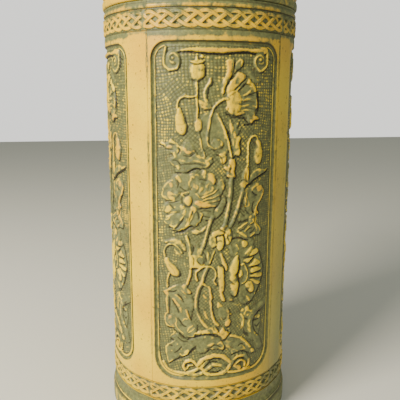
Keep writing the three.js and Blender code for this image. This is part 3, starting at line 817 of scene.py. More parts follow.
# the right-hand leaves below the nodding bud
form([(29, 316), (37, 322), (43, 331), (52, 334), (60, 332.5), (67, 333), (60, 328.6), (55, 326.5), (50, 325),
      (45, 322.5), (41, 319), (37, 316), (31, 309)], 1.9, edge=1.5, tone=-0.05, lip=0.5, under=0.9)
cuts([[(68, 332), (64, 329), (60, 327), (54, 324.5), (48, 323), (44, 320.5), (40, 317), (36, 314.5),
       (31, 308)]], width=2.8, depth=1.2)
form([(31, 308), (35, 313), (41, 313), (46, 317), (52, 318), (59, 314), (61, 306), (58, 298), (53, 292),
      (51, 286), (54, 282), (49, 277), (44, 272), (38, 276), (30, 274), (25, 276), (29, 288), (33, 300)],
     1.3, edge=1.5, dish=0.4, tone=-0.2, lip=0.3, under=0.9)
ridges([[(36, 308), (35, 304), (37, 300), (39, 295), (38.5, 291.5), (33, 291)],
        [(43, 309), (45, 313), (52, 315.4)], [(56, 297), (52, 294), (49, 288), (48, 283), (54, 282)],
        [(33, 302), (35, 297), (34, 292)]], width=2.3, tone=0.7)
patches([[(50, 313), (55, 315), (58.4, 311), (55, 307), (50.6, 308)]], tone=0.75, tint=0.6, rise=0.7)
patches([[(41, 305), (46, 303), (49, 297), (45, 296), (42, 300)],
         [(39, 288), (44, 284), (43, 279), (38, 282)]], tone=0.2, rise=0.3)
ridges([[(59, 312), (60, 306), (57, 299), (54, 294)], [(56, 296), (52, 291), (49.6, 284), (53, 281)]],
       width=2.8, tone=0.75, tint=0.3)
cuts([[(59, 298.6), (56, 295), (53, 290), (52, 286), (55, 281)], [(44, 308), (48, 304), (52, 303)],
      [(46, 296), (44, 288), (47, 281)]], width=2.6)
cuts([[(28, 290), (34, 284)], [(28, 286), (34, 279)], [(29, 276), (26, 271)], [(34, 288), (40, 281)],
      [(31, 296), (36, 288)]], width=1.6)
form([(24, 266), (31, 270), (38, 273), (45, 272), (52, 268), (59, 262), (57, 256), (50, 256), (41, 253.5),
      (32, 256), (26, 260)], 1.4, edge=1.4, dish=0.4, tone=-0.2, lip=0.3, under=0.9)
form([(39, 276), (41, 279.6), (45, 281), (49, 284), (49, 278), (47, 271), (42, 270)], 2, edge=1.8, tone=0.4)
ridges([[(30, 264.6), (38, 268), (46, 271.6)], [(33, 262), (39, 266), (45, 268)],
        [(48, 270), (51.4, 262), (49, 259), (45, 256.4), (42, 255)], [(26, 266), (32, 269.6), (38, 273)]],
       width=2.1, tone=0.75)
ridges([[(47, 282), (51, 276), (50, 270), (54.6, 265), (57, 260)], [(44, 275), (48, 271), (49, 266)]],
       width=2.8, tone=0.8, tint=0.15)
cuts([[(27, 262), (33, 265.4), (40, 269.6)], [(36, 262), (41, 264), (46, 264)],
      [(41, 259), (46, 260), (49, 264)], [(59.6, 262), (58, 256), (50, 254.6)]], width=1.8)

# the leaf and the blossoms behind the lower right poppy
form([(18, 262), (24, 259.6), (30, 257), (36, 254), (43, 252.5), (48, 248), (46, 241), (36, 234), (28, 232),
      (18, 234), (15, 244), (12, 254)], 1.1, edge=1.4, dish=0.3, tone=-0.2, lip=0.1)
ridges([[(18, 262), (26, 261), (33, 257), (37.6, 254)]], width=3.2, tone=0.55)
ridges([[(23, 247), (25.4, 243), (25, 238), (22, 235)]], width=3, tone=0.5)
cuts([[(11, 250), (16, 253.4), (22, 255), (30, 254), (34, 252), (41, 250.5)]], width=3, depth=1)
form([(31, 249), (34, 250.6), (38, 249), (39.6, 246), (36, 242.6), (32, 244)], 1.9, tone=0.4)
form([(32, 163), (40, 168), (48, 160), (60, 163), (67, 172), (66, 158), (62, 150), (64, 140), (58, 124),
      (50, 120), (40, 128), (34, 140), (31, 150)], 1.0, edge=1.4, dish=0.3, tone=-0.25, lip=0.25,
     soft=False)
ridges([[(31.6, 159), (35, 154), (34.6, 147), (32, 140)], [(44, 148), (43, 143), (46.4, 139)],
        [(41, 140), (45, 134), (50, 129)], [(52, 131), (56, 126.4), (59.6, 122)]], width=3, rise=0.9,
       tone=0.8)
ridges([[(36, 158), (40, 163), (46, 160), (50, 162)], [(45, 152), (48, 156), (56, 158), (64, 163)],
        [(62, 150), (57, 151.6), (50, 149)]], width=2.6, tone=0.7)
patches([[(43, 148.6), (46, 150.6), (51, 150), (50.4, 146.6), (45, 145.4)],
         [(37, 166), (41, 167.6), (43, 163), (38.6, 161)], [(36, 160), (39, 160), (38, 156), (35.4, 156.6)],
         [(40, 158), (44, 157), (43, 154), (40, 155)], [(33, 165), (36, 164.6), (35, 161), (32.4, 162)],
         [(55, 150), (60, 150.6), (63, 148), (58, 147.6)]], tone=0.7, tint=0.15)
cuts([[(48, 145), (53, 146.4), (60, 147)], [(47.4, 146), (47, 142), (49.6, 139)],
      [(37, 153), (42, 149), (41, 144)], [(38, 134), (46, 128), (54, 118)],
      [(50, 154), (56, 156), (64, 156)], [(53, 140), (57, 137), (62, 141)],
      [(36, 140), (38, 133), (44, 127)]], width=2.3)

# the big open poppy: its olive back, then petal by petal
form([(-54, 326), (-47, 330), (-38, 331), (-28, 331), (-20, 329), (-12, 324), (-4, 319), (2, 315), (3, 306),
      (1, 297), (-4, 290), (-6, 281), (-14, 278), (-20, 284), (-30, 290), (-44, 296), (-52, 300), (-60, 308)],
     1.4, edge=1.8, dish=0.4, tone=-0.2, under=0.9)
form([(-62, 318), (-58, 322), (-52, 324), (-46, 322), (-43, 315), (-44, 308), (-49, 303), (-56, 300),
      (-63, 302), (-66, 309)], 1.7, edge=1.6, dish=0.4, tone=-0.1, lip=0.35)
patches([[(-57, 320), (-52.6, 320.6), (-51, 316), (-55, 314)]], tone=0.45, tint=0.7, rise=0.6)
patches([[(-58, 310), (-54, 311.6), (-51, 308), (-49.4, 304), (-49.4, 298.6), (-52.4, 298.6), (-55, 302),
          (-58.6, 305)]], tone=0.45, tint=0.35)
ridges([[(-62, 318), (-65, 314), (-62.4, 311)], [(-64, 310), (-65, 306), (-63, 302.6)],
        [(-54, 325), (-51, 321.4), (-50, 318)]], width=2)
form([(-52, 323), (-48, 329), (-42, 331), (-35, 330), (-32, 323), (-33, 314), (-40, 311), (-46, 313)], 1.8,
     edge=1.7, dish=0.5, tone=-0.2, lip=0.3)
patches([[(-49, 326), (-46, 329), (-43, 325.6), (-41.6, 321.6), (-46, 321)]], tone=0.55, tint=0.15)
form([(-33, 330), (-27, 331.5), (-21, 329), (-19, 322), (-22, 314), (-28, 310), (-32.6, 316)], 1.8,
     edge=1.7, dish=0.5, tone=-0.15, lip=0.35)
patches([[(-29.4, 321.6), (-24, 320), (-22.6, 315.4), (-26, 313.4), (-29, 316.6)]], tone=0.45, tint=0.25)
ridges([[(-33.4, 323), (-33, 317), (-30, 313)], [(-32, 325), (-30, 328), (-27.4, 326)]], width=1.9, tone=0.6)
form([(-22, 321), (-15, 326), (-8, 323), (-3, 317), (-7, 310), (-15, 306.6), (-22, 308)], 1.7, edge=2,
     dish=0.5, tone=-0.35, lip=0.15)
cuts([[(-18, 311), (-16, 317), (-14, 324)], [(-14, 309), (-11, 315), (-9, 322)]], width=1.2, depth=0.3,
     ink=0.3)
form([(-19.6, 330), (-17, 334.6), (-13.6, 334.8), (-11.4, 330), (-14, 325.6), (-17.4, 327)], 2.1, edge=1.8,
     tone=0.45)
form([(-13.4, 332), (-8.6, 332), (-3.6, 328), (-2.6, 322.4), (-5.6, 318.6), (-8.6, 322.6), (-13, 326.4)],
     2.1, edge=2, tone=0.45, tint=0.3, under=0.3)
cuts([[(-22, 325), (-18, 324.6), (-12, 323.6)], [(-44, 316), (-40, 313), (-36, 311)],
      [(-33, 309.6), (-36, 306), (-40, 308)], [(-46.6, 314), (-45, 320), (-47, 324)],
      [(-30.6, 316), (-31.4, 312.6)]], width=2)
for band in ([(-19, 300.6), (-12, 302), (-6, 304), (1, 306.6)],
             [(-18, 303.6), (-8, 308), (-4, 311), (0.6, 315)], [(-17, 298), (-8, 299.4), (2, 301)]):
    stem(band, 2.4, rise=1.7, tone=0.22, taper=0.2, under=0.8)
form([(-27, 297), (-24, 301), (-20, 301.6), (-16, 299), (-8, 297), (-2.6, 295.6), (-3.6, 293), (-16, 293),
      (-22, 292)], 2.1, edge=1.8, tone=0.35, tint=0.55)
patches([[(-27, 297), (-24, 301), (-19, 300), (-20, 295)]], tone=0.25, tint=0.75)
cuts([[(-24, 291), (-16, 291.4), (-8, 292), (-2, 291.6)]], width=2.2)
form([(-22, 289), (-14, 290.6), (-6, 290), (-5, 285), (-7, 281.6), (-14, 283), (-20, 284)], 1.5, edge=1.4,
     tone=-0.05, lip=0.35)
cuts([[(-20, 288.4), (-13, 289), (-7, 288)], [(-21, 281), (-17, 282.6), (-12, 281.6), (-6, 280.4)]],
     width=1.8)
form([(-58, 299), (-48, 299.6), (-42, 298), (-42, 289), (-47, 287), (-56, 285), (-63, 287), (-64, 294)],
     1.6, edge=1.5, dish=0.3, tone=-0.15, lip=0.3)
patches([[(-61, 286), (-60, 292), (-56, 294), (-54.6, 288)],
         [(-58, 284.6), (-52, 283.8), (-47, 285), (-41.6, 286.4), (-42, 288.4), (-52, 287.2)]], tone=0.5,
        tint=0.15)
cuts([[(-59, 282.6), (-52, 281.8), (-44, 284)], [(-60, 297.6), (-52, 298), (-45, 300)],
      [(-56, 296), (-50, 290)]], width=2)
form([(-43, 298), (-31, 296.6), (-24, 291), (-17.5, 285.4), (-18.6, 282), (-20.4, 277), (-23, 275),
      (-24, 272), (-27, 270.6), (-31, 272), (-37, 268.6), (-45, 264.6), (-53, 266), (-51, 273), (-44, 284)],
     1.8, edge=1.7, dish=0.5, tone=-0.25, lip=0.3, under=0.95, soft=False)
ridges([[(-23.4, 289), (-20, 287), (-17.8, 284.5), (-19.4, 281.6), (-21, 277), (-23.4, 274.6),
         (-24.4, 271.6), (-27, 270.4)], [(-46, 264.4), (-42, 266.4), (-38, 268), (-34, 271.4), (-30, 273)]],
       width=2.4, tone=0.55)
form([(-31, 293.6), (-26, 293.4), (-24, 290), (-27, 286), (-29, 281), (-32, 276), (-36.4, 269.8),
      (-39, 270.4), (-36, 276), (-33.4, 282), (-33, 288)], 2.1, edge=1.5, tone=0.42, tint=0.2)
ridges([[(-34.6, 282), (-36.6, 277), (-39, 272)], [(-37, 292), (-41, 284), (-44, 277)]], width=1.9, tone=0.5)
form([(-40, 283), (-44, 277), (-51, 268.4), (-57, 271), (-63, 275), (-61, 280), (-56, 284), (-48, 286)],
     1.5, tone=-0.15, lip=0.3)
ridges([[(-40, 282.4), (-44, 277), (-48, 272), (-51.4, 268.6)]], width=2.8, tone=0.55)
ridges([[(-57, 271), (-53, 270), (-50, 269.6)], [(-61, 278), (-58, 277.6), (-56.4, 280.5), (-58.4, 283)],
        [(-63.4, 276.4), (-61.6, 274), (-60, 271.6)]], width=1.8)
cuts([[(-39, 280), (-42, 275), (-46, 269.6), (-50, 266.6)], [(-29, 270), (-33, 270), (-36, 267), (-39, 264.8),
      (-43, 263), (-50, 262.4)], [(-24, 288), (-22, 284), (-23, 279)], [(-28.6, 289), (-31, 282), (-34, 276)],
      [(-58, 268.6), (-54, 267.4)]], width=2.4, depth=1)
form([(-38, 303), (-36, 306), (-32, 305.4), (-30, 301.4), (-30.6, 297), (-34, 294.8), (-37.4, 296.6),
      (-39.4, 300)], 2.9, edge=3.4, tone=0.5, tint=0.1, under=0.95)
cuts([[(-39.6, 297), (-36.4, 293.6), (-32, 293.4), (-29.4, 296)], [(-40.6, 305), (-41.4, 300), (-40, 296)]],
     width=1.9)
patches([[(-44, 299), (-42, 299), (-41.6, 297), (-43.6, 296.6)],
         [(-43.4, 294.6), (-41.4, 295), (-41, 292.6), (-43, 292)],
         [(-41, 293.6), (-39, 294), (-38.4, 291.6), (-40.6, 291)],
         [(-40, 289), (-38, 289), (-37, 287), (-39, 286)],
         [(-43.6, 304), (-42, 305), (-41.6, 302.6), (-43.4, 302)],
         [(-27.6, 303), (-26, 304), (-25.6, 301.6)]], rise=0.7, tone=0.6, edge=0.8)
ridges([[(-41, 309), (-35, 310.4), (-28, 309.4), (-24, 307.4), (-21, 304.6)]], width=2, tone=0.6)
form([(-5, 280.6), (1, 282), (6, 288), (9, 297), (8, 305), (4, 300), (0, 293), (-4, 288)], 1.3, edge=1.4,
     tone=-0.2, lip=0.25, under=0.9)
form([(2, 305), (6, 311), (8, 319), (4, 325), (0, 321), (1, 313)], 1.2, edge=1.4, tone=-0.2, lip=0.2,
     under=0.8)
form([(-31, 265), (-26, 267.5), (-21, 266), (-17, 269), (-13, 272), (-15, 265), (-22, 261.6), (-28, 262)],
     1.5, tone=0.1, lip=0.45)

# the centre node, where the stems cross
form([(-7, 262), (-3, 265), (2, 266), (6, 270), (12, 272.5), (13, 268), (9.6, 262), (3, 259), (-6, 258)],
     2.2, edge=2, tone=0.4, tint=0.1)
form([(9, 266), (13, 269), (16, 266), (18, 258), (15, 250), (11, 248), (9, 256)], 2.2, edge=2, tone=0.4)
form([(0, 258), (6, 260), (9, 254), (8, 246), (3, 241), (-1, 246)], 2, edge=2, tone=0.3, lip=0.2)
form([(-9, 259), (-2, 257), (-1, 248), (-6, 245), (-10, 250)], 1.8, edge=1.8, tone=0.1, lip=0.4)
patches([[(0, 251), (4, 252.6), (6.4, 246), (4, 241.6), (0, 243)]], tone=0.4)
cuts([[(8.4, 261), (9, 253), (7, 245)], [(-2, 259), (3, 259), (9, 261.6)], [(-1.6, 256), (-0.6, 250)],
      [(13, 262), (12.6, 256), (14.6, 250)], [(3, 266.6), (7, 264), (11, 262)]], width=1.8)

# the left sprays and the leaves round their node
form([(-38, 244), (-34, 252), (-28, 253), (-22, 248), (-21, 242), (-26, 238), (-33, 238)], 1.2, dish=0.3,
     tone=-0.3, lip=0.2)
form([(-24, 242), (-20, 246), (-14, 243), (-9, 236), (-8, 227), (-13, 224), (-20, 224), (-25, 230)], 1.2,
     dish=0.3, tone=-0.2, lip=0.2)
patches([[(-25.4, 243), (-22, 246.6), (-18, 243), (-19, 237.4), (-24, 237)]], tone=0.5)
ridges([[(-3.4, 241), (-6, 235), (-9.4, 225)]], width=3, tone=0.5)
ridges([[(-33, 246), (-28, 247), (-23, 245)], [(-13, 243), (-11, 238), (-12, 230)]], width=2)
cuts([[(-2, 240), (-4.4, 234), (-7, 226)], [(-29, 249.6), (-28, 245), (-29, 240)],
      [(-17, 240), (-14, 236), (-13, 228)]], width=2)
form([(-63, 252), (-56, 254.4), (-50, 256.2), (-44, 255), (-39, 250), (-37, 245), (-37.6, 240.6), (-42, 244),
      (-48, 249), (-54, 250), (-63, 250.2)], 1.8, edge=1.5, tone=0.35, tint=0.2, under=0.9, soft=False)
stem([(-62, 231), (-63.4, 240), (-60, 246.6), (-55, 248.8), (-50, 248.4), (-44, 243), (-42, 239)], 2.4)
ridges([[(-51, 243.6), (-48, 240), (-43.6, 236)]], width=2.6)
stem([(-36.4, 259), (-34, 252), (-32.4, 246), (-32, 236), (-31, 228), (-32, 213), (-34, 206), (-36.5, 200),
      (-38, 195)], 3.4, tone=0.3)
form([(-33, 224), (-33, 234), (-28, 238), (-20, 237), (-16, 232), (-17, 221.5), (-26, 220.5)], 2.1, edge=2,
     tone=0.38)
form([(-24, 230), (-20, 234.6), (-15.6, 230), (-19, 225.6)], 1.5, edge=2, tone=-0.35, under=0.3)
cuts([[(-34, 220.2), (-26, 219.2), (-17, 220)], [(-24, 229.4), (-19, 224.6), (-15, 229.4)],
      [(-30, 236), (-27.6, 231), (-28, 224)]], width=1.7)

# the upright strip leaves in the top half
form([(31, 446), (35, 447), (40, 441), (46, 434), (51, 431), (45, 430), (39, 434), (34, 440)], 0.7,
     tone=-0.05, lip=0.25, under=0.5)
form([(8, 453), (13, 454.5), (17, 453), (17, 449), (15.5, 444), (13.5, 439), (11, 432), (8, 428), (6, 423),
      (5.5, 418), (3.5, 418), (2.5, 422), (3, 428), (5, 433), (8, 438), (9, 445)], 1.7, edge=1.7, tone=0.1,
     lip=0.2)
patches([[(9, 452), (13, 453), (14, 446), (12, 437), (8.6, 435), (9.4, 444)]], tone=0.2, tint=0.8, rise=0.3)
patches([[(3.4, 434), (7, 433), (7.6, 427), (5, 418), (3.4, 420)]], tone=0.45, rise=0.3)
ridges([[(17, 452), (15.4, 444), (12.6, 435)]], width=1.8)
form([(20, 452), (24, 454.6), (27.6, 452), (26.4, 447), (22, 444), (17, 440), (12, 433), (10, 430),
      (12, 437), (16, 444)], 1.5, edge=1.4, tone=-0.1, lip=0.45, under=0.8)
patches([[(24.6, 453.6), (27.4, 452.6), (26.6, 447), (24.6, 446.4)]], tone=0.45)
cuts([[(23, 441.6), (17, 435.5), (9, 427)], [(18.6, 448), (15.4, 440), (11.4, 433)],
      [(18, 452), (18, 447)]], width=1.8)
form([(-10, 435), (-8, 432), (-8, 428), (-11, 425.5), (-12.5, 422), (-13.5, 414), (-11.5, 409), (-8.5, 404),
      (-12, 404), (-16, 409), (-17.5, 414), (-17, 420), (-15, 426), (-12, 431)], 1.6, edge=1.4, tone=0.0,
     lip=0.45, under=0.8)
form([(-23, 411.5), (-17, 410), (-12, 406.5), (-7, 402.5), (-15, 401), (-18, 402.5), (-21, 404)], 1.7,
     edge=1.5, tone=0.3, tint=0.2, under=0.8)
patches([[(-12, 434), (-9, 434), (-9, 429), (-12, 428)]], tone=0.35, tint=0.3)

# the top poppy, seen from the side
form([(9, 419), (10, 427), (14, 432), (18, 436), (22, 441.5), (29, 439), (33, 436), (39, 432), (43, 427),
      (38, 417), (28, 413), (16, 416)], 1.8, edge=1.6, dish=0.3, tone=-0.1, lip=0.2)
form([(27, 417), (33, 420), (40, 427), (45.4, 422), (47, 412), (47.6, 404), (44, 400), (43, 391), (34, 392),
      (26, 396), (24, 406)], 1.8, edge=1.6, dish=0.5, tone=-0.2, lip=0.2, under=1.0)
form([(10, 423), (11.6, 430), (16, 434.4), (22, 441.4), (29, 438.6), (31.6, 436), (27, 431), (21, 425),
      (16, 419), (11, 418)], 2.1, edge=1.6, tone=0.42, tint=0.25)
form([(18, 421), (24, 426), (30, 432), (33.4, 433.6), (31.4, 429), (26, 424), (21, 420)], 1.7, edge=1.2,
     tone=-0.2)
form([(32.6, 430), (35, 434.8), (38.4, 431), (38, 426.6), (34.4, 427)], 2.1, edge=1.5, tone=0.45)
form([(36, 427), (40, 430), (44.4, 425.4), (45.4, 420.6), (41, 420.6), (36.6, 423.6)], 2.2, edge=1.8,
     tone=0.5)
cuts([[(16, 420.6), (22, 425.4), (28, 431), (33, 435)], [(28, 425), (33, 428), (39, 427)],
      [(35, 417), (40, 418.2), (45, 419.6)], [(22, 421), (28, 426), (32, 430)]], width=1.8)
ridges([[(26, 404.5), (33, 405.6), (39, 406), (46, 404)], [(27, 410.6), (35, 412.6), (45, 414)],
        [(24, 399.6), (31, 400.6), (42, 398.4)], [(26, 416), (32, 418), (38, 422)]], width=2.5, tone=0.55)
ridges([[(45, 413), (46.6, 407), (45, 401), (43.6, 396), (42, 391)]], width=2.8, tone=0.5)
cuts([[(28, 409), (36, 409.6), (44, 409.4)], [(28, 402), (34, 402.6), (43, 401.6)],
      [(29, 414.6), (36, 416), (43, 416.4)]], width=1.5, depth=0.5, ink=0.6)
cuts([[(47.6, 421), (48.6, 414), (50, 408), (49, 400), (47, 396)]], width=2.6)
form([(7.4, 402), (12, 398), (20, 395), (30, 396), (33, 394), (36, 387), (40, 384.8), (42, 387),
      (46, 389.5), (51, 390.6), (45, 394.5), (37, 396.5), (28, 399), (18, 401), (9, 405)], 2.3, edge=2,
     tone=0.38, tint=0.4, under=1.0)
cuts([[(7, 398.6), (9, 396), (12, 395.4), (16, 392.6), (22, 393), (30, 391), (35, 387)],
      [(30, 384), (37, 384.6), (41, 386.6), (43, 389), (51, 389)]], width=2.3, depth=1)
form([(8.5, 408), (9, 416), (13, 421), (19, 421.6), (25, 417), (27, 408), (25, 399.5), (18, 395.6),
      (11.6, 398)], 2.9, edge=6, tone=0.38, tint=0.12, under=0.3)
ridges([[(24, 405), (28, 405.4), (32, 405.6)], [(24, 411), (28, 412), (32, 412.4)]], width=2.2, rise=0.4,
       tone=0.2)
cuts([[(12, 416), (16, 418.9), (20, 420.2)]], width=1.3, depth=0.4, ink=0.7)
stem([(10, 413), (4, 411.5), (0, 409), (-6, 403), (-8, 398), (-10.5, 388), (-12, 378), (-12.5, 370),
      (-11.5, 364), (-8.5, 360.5), (-5, 359.5)], 2.7)
form([(-9, 364), (-4.5, 369.4), (1, 369.2), (5.6, 364), (3, 360), (-4, 358.6)], 1.9, edge=2.2, tone=-0.15,
     lip=0.5)

# the lower right poppy, half open
form([(28, 232), (33, 237), (42, 242), (50, 241), (57, 235), (61, 224), (64, 212), (62.6, 200), (58, 190),
      (50, 178), (42, 171), (33, 173), (28, 182), (28, 200), (30, 215)], 1.0, edge=1.8, dish=0.3,
     tone=-0.25, under=1.0)
for petal, shade in (
    ([(33, 231), (36, 237), (44, 243.4), (50, 241), (46, 237), (40, 231)], 0.0),
    ([(42, 232), (45.6, 237), (52.6, 239), (56, 234.6), (50.6, 231.4), (44, 230.6)], 0.42),
    ([(32, 225), (37, 229), (42, 228.4), (48, 229.8), (43.4, 225), (40, 223)], 0.35),
    ([(41, 218), (46.6, 222), (51.4, 225.6), (59, 220.4), (55, 217), (46, 216.8)], 0.4),
    ([(44, 213.6), (51, 216.6), (56.6, 214.4), (61, 211.4), (55, 208.8), (45, 209)], 0.35),
    ([(44, 206), (50, 208.2), (57, 208.2), (62, 206), (60.6, 201.4), (46.6, 203.6)], 0.42),
    ([(43, 202), (49, 200.4), (57, 196.6), (60, 194), (55, 193), (47, 197.6)], 0.35),
    ([(36.6, 196), (41.4, 199.4), (46, 198.2), (49.6, 192), (49.6, 186), (45, 183.6), (41, 186.6), (43, 190),
      (38.6, 191.6)], 0.42),
):
    form(petal, 2.0, edge=1.8, tone=shade, lip=0.2, under=0.9)
ridges([[(35, 234), (40, 238), (44, 242)], [(32, 186), (38, 181), (44, 174)],
        [(31, 183), (34, 178), (38, 172)], [(56, 228), (60, 222)]], width=2)
patches([[(37, 181), (40.4, 182), (44, 176), (41.6, 173)], [(50, 182), (53, 184), (52, 178)]], tone=0.5)
cuts([[(40, 229.5), (46, 230), (53, 230.6)], [(41, 221), (44, 223.6), (50, 228)],
      [(44, 215), (50, 216), (58, 216)], [(44, 208.6), (51, 208), (60, 209)],
      [(43, 202.6), (50, 202), (59, 199.6)], [(39, 171), (42, 172.8), (50, 172.8)],
      [(38, 190), (43, 185), (49, 182)], [(57, 235), (61.6, 224), (64.4, 212)],
      [(62, 200), (59, 190), (53, 180)]], width=2.2, depth=0.9)
form([(1.5, 223), (4, 221.6), (8, 218.4), (8.6, 210), (9.2, 193), (7, 189.4), (10.4, 179), (6.5, 180),
      (3.4, 190), (1.8, 205), (0.6, 214)], 2, edge=1.8, tone=0.42, under=1.0)
form([(3.6, 239), (6, 236), (8.4, 230), (12, 223), (12.4, 216), (9.6, 218), (6, 226), (3.6, 232)], 1.8,
     edge=1.4, tone=0.3, tint=0.4, under=0.9)
cuts([[(5, 224), (8, 221.6), (10.4, 216)]], width=1.7)
form([(30, 214), (33, 223), (38, 219), (39.8, 210), (38.5, 203), (35, 198), (30, 196), (28, 204)], 1.4,
     edge=1.6, dish=0.6, tone=-0.35)
stem([(30, 221), (34, 222), (37.4, 216), (39.2, 210), (38.7, 204), (36, 199.6), (32, 198)], 2.3, tone=0.4)
form([(28.5, 215), (32, 214), (33, 208), (30, 204), (27, 209)], 1.8, edge=2.2, tone=0.2, lip=0.2)
form([(25.6, 234.5), (27.6, 228), (27.5, 221), (26, 213), (23.6, 209), (26.2, 204), (27.6, 199),
      (26.6, 189), (24, 183.4), (20.6, 183.4), (17.8, 191), (17, 199), (15.6, 206), (15.2, 213), (16, 222),
      (19.4, 229.4)], 2.7, edge=4.5, tone=0.36, under=1.0)
patches([[(12.6, 222), (15.4, 223), (15.6, 206), (17, 200), (14.6, 200), (13.4, 210)]], rise=0.1, tone=-0.6)
ridges([[(17.4, 196), (19.6, 193.6), (22, 191)]], width=1.6, tone=0.2, tint=0.5)
cuts([[(29, 229), (29.2, 220), (27.6, 212), (26.6, 208.6), (28.6, 203), (28.8, 194), (27.4, 186),
       (22.5, 181.4), (18, 185)], [(16, 204), (19, 200.6), (22, 199)], [(27, 203), (30, 206), (32, 208)]],
     width=2.2, depth=1)
form([(14.6, 183.6), (18.4, 182.4), (21, 178), (16, 178.4)], 1.6, tone=0.4, tint=0.3)
ridges([[(21, 174.4), (24, 172.6), (28.4, 170.6)]], width=2)
form([(1, 178), (4, 177), (10.6, 168.6), (18.6, 160.4), (14, 160), (7, 166), (1, 171)], 1.7, tone=0.1,
     lip=0.45)
form([(12, 168), (15.6, 167), (15.6, 157), (18, 151), (15, 145.4), (11, 147), (11.6, 157)], 1.6, tone=0.2,
     tint=0.45, under=0.9)
patches([[(11, 152), (16, 152.6), (16, 147.4), (11.6, 146.8)]], tone=0.3)
form([(4, 172), (9, 170), (12, 163), (10, 156), (4, 160), (2, 166)], 0.9, tone=-0.25, lip=0.2)
ridges([[(2.6, 160.6), (4.6, 158), (7.4, 153.6)]], width=1.8)

# the lower left leaf, which folds over on itself
form([(-46, 201), (-53, 197), (-60, 194.5), (-66, 190.5), (-61, 186), (-63, 176), (-61, 164), (-56, 162),
      (-64, 155), (-61, 146), (-52, 144), (-45, 139), (-37, 133.5), (-28, 134), (-24, 142), (-24, 150),
      (-31, 158), (-30, 167), (-27, 176), (-30, 186), (-37, 197)], 1.2, edge=1.4, dish=0.4, tone=-0.3,
     lip=0.15, under=0.8, soft=False)
patches([[(-65, 190), (-62, 192.4), (-58.6, 192), (-57.6, 188), (-60, 185), (-63, 187)]], tone=0.8, tint=0.5)
ridges([[(-63, 190), (-59, 193), (-54, 195.4), (-49, 199)], [(-60.5, 186), (-60.4, 175), (-59.5, 163)],
        [(-50, 193), (-44, 190), (-36, 183.6)], [(-45, 196), (-40, 191), (-35, 187.6)],
        [(-52, 187), (-47, 185), (-41, 179.6)]], width=2.3, tone=0.85)
ridges([[(-53.4, 182.4), (-50, 179), (-47, 176), (-44, 171), (-43, 164.6)]], width=4, tone=0.9, tint=0.2)
form([(-42.4, 199), (-38.4, 201), (-36, 197), (-31, 190.6), (-36.6, 189.6), (-40, 193)], 1.9, tone=0.4,
     under=0.9)
patches([[(-38.6, 169.4), (-35, 168.4), (-31, 158), (-34, 156.4), (-37, 163)]], tone=0.85, tint=0.3)
patches([[(-59, 160), (-53, 160.6), (-50.6, 153), (-53, 146.6), (-58, 149), (-60, 154)]], tone=0.6, tint=0.9)
ridges([[(-60, 164), (-64, 158), (-62.6, 151), (-58, 146.6), (-52, 145.6)],
        [(-57.6, 163), (-52, 161.6), (-49, 155), (-50, 149.6), (-46, 144), (-42, 140.4), (-33, 135.4),
         (-27, 134.6)], [(-42, 154), (-39, 157.4), (-35, 157)], [(-36, 141), (-33, 146), (-28, 150)],
        [(-35, 140), (-30, 143), (-25, 148)], [(-16.6, 187), (-14.6, 185), (-12, 183.5)]], width=2.4,
       tone=0.85)
cuts([[(-54.6, 181), (-51, 176), (-48, 171), (-45.6, 164)], [(-58.6, 190.6), (-53, 190), (-48, 193)],
      [(-48, 188), (-43, 184), (-39, 178)], [(-60.6, 146), (-55, 144.4), (-50, 145)],
      [(-58, 162), (-57, 174), (-57.6, 184)], [(-47, 158), (-42, 150), (-36, 147)],
      [(-52, 142.6), (-45, 137), (-38, 131.6)], [(-30, 155), (-33, 162), (-34.6, 168)]], width=2.4)

# the long stems
stem([(-24.5, 430), (-24.5, 415), (-24.5, 400), (-24.8, 391)], 2.4, tone=0.28)
stem([(-24.5, 437), (-24.5, 429), (-24.5, 422)], 4.8, taper=0.5, tone=0.3)
form([(-26, 389), (-27, 384), (-26, 379), (-23, 377), (-20, 378.6), (-19, 386), (-21, 390.6), (-24.6, 391)],
     1.9, tone=0.35, tint=0.2, under=0.9)
stem([(-22.5, 379), (-21, 370), (-19.5, 362), (-17.5, 356), (-15.4, 350)], 1.9, taper=0.3)
stem([(-26, 415), (-34, 414.8), (-38, 414.8), (-42, 413), (-45, 410), (-46.3, 406), (-46, 400)], 2.3,
     tone=0.28)
stem([(-2, 396), (1, 390), (5, 383), (8, 375), (11, 367), (13.5, 358), (15.5, 349), (16.5, 343)], 2.6,
     tone=0.28)
form([(12.6, 346), (16, 348), (19.6, 345.6), (21, 339), (19, 332), (20.6, 325.6), (14, 324.6), (9, 326.6),
      (11, 333), (5.4, 337.6), (11, 339)], 2.4, edge=2, tone=0.36, tint=0.25, under=1.0, soft=False)
patches([[(11.6, 338), (15, 337), (14, 332), (12, 333)]], rise=-0.2, tone=-0.4)
ridges([[(6.4, 340.6), (8, 338), (9, 335)], [(5.4, 334.4), (7, 332), (9, 330.6)]], width=2)
cuts([[(8, 328), (13, 324.8), (19, 325)], [(13.6, 341), (15, 337), (13, 331.4)]], width=1.8)
stem([(15.5, 326), (15.4, 312), (14.4, 302), (13, 292), (11.4, 283), (9.8, 275), (8, 269)], 4.8, tone=-0.34)
ridges([[(13.8, 322), (13.6, 312), (12.6, 302), (11, 290), (9.2, 279)]], width=1.5, rise=0.2, tone=0.75)
stem([(36, 334), (36.5, 345), (36.5, 362), (38, 367), (41, 370.5), (45, 371.5), (48.5, 370), (51, 366.5)],
     2.1, tone=0.3)
form([(32.6, 335), (35, 336), (38.6, 336.4), (38.4, 330), (37.6, 321), (36, 317), (31, 317.6), (28.6, 326),
      (30.4, 332)], 2, edge=1.8, tone=0.32, tint=0.2, under=1.0)
form([(27, 319), (31, 320), (34.5, 316.5), (33, 312), (28.6, 314.5)], 1.9, tone=0.4)
cuts([[(34.6, 330), (34, 325), (35.4, 320)], [(28, 321.6), (32, 322), (36, 319)]], width=1.4)
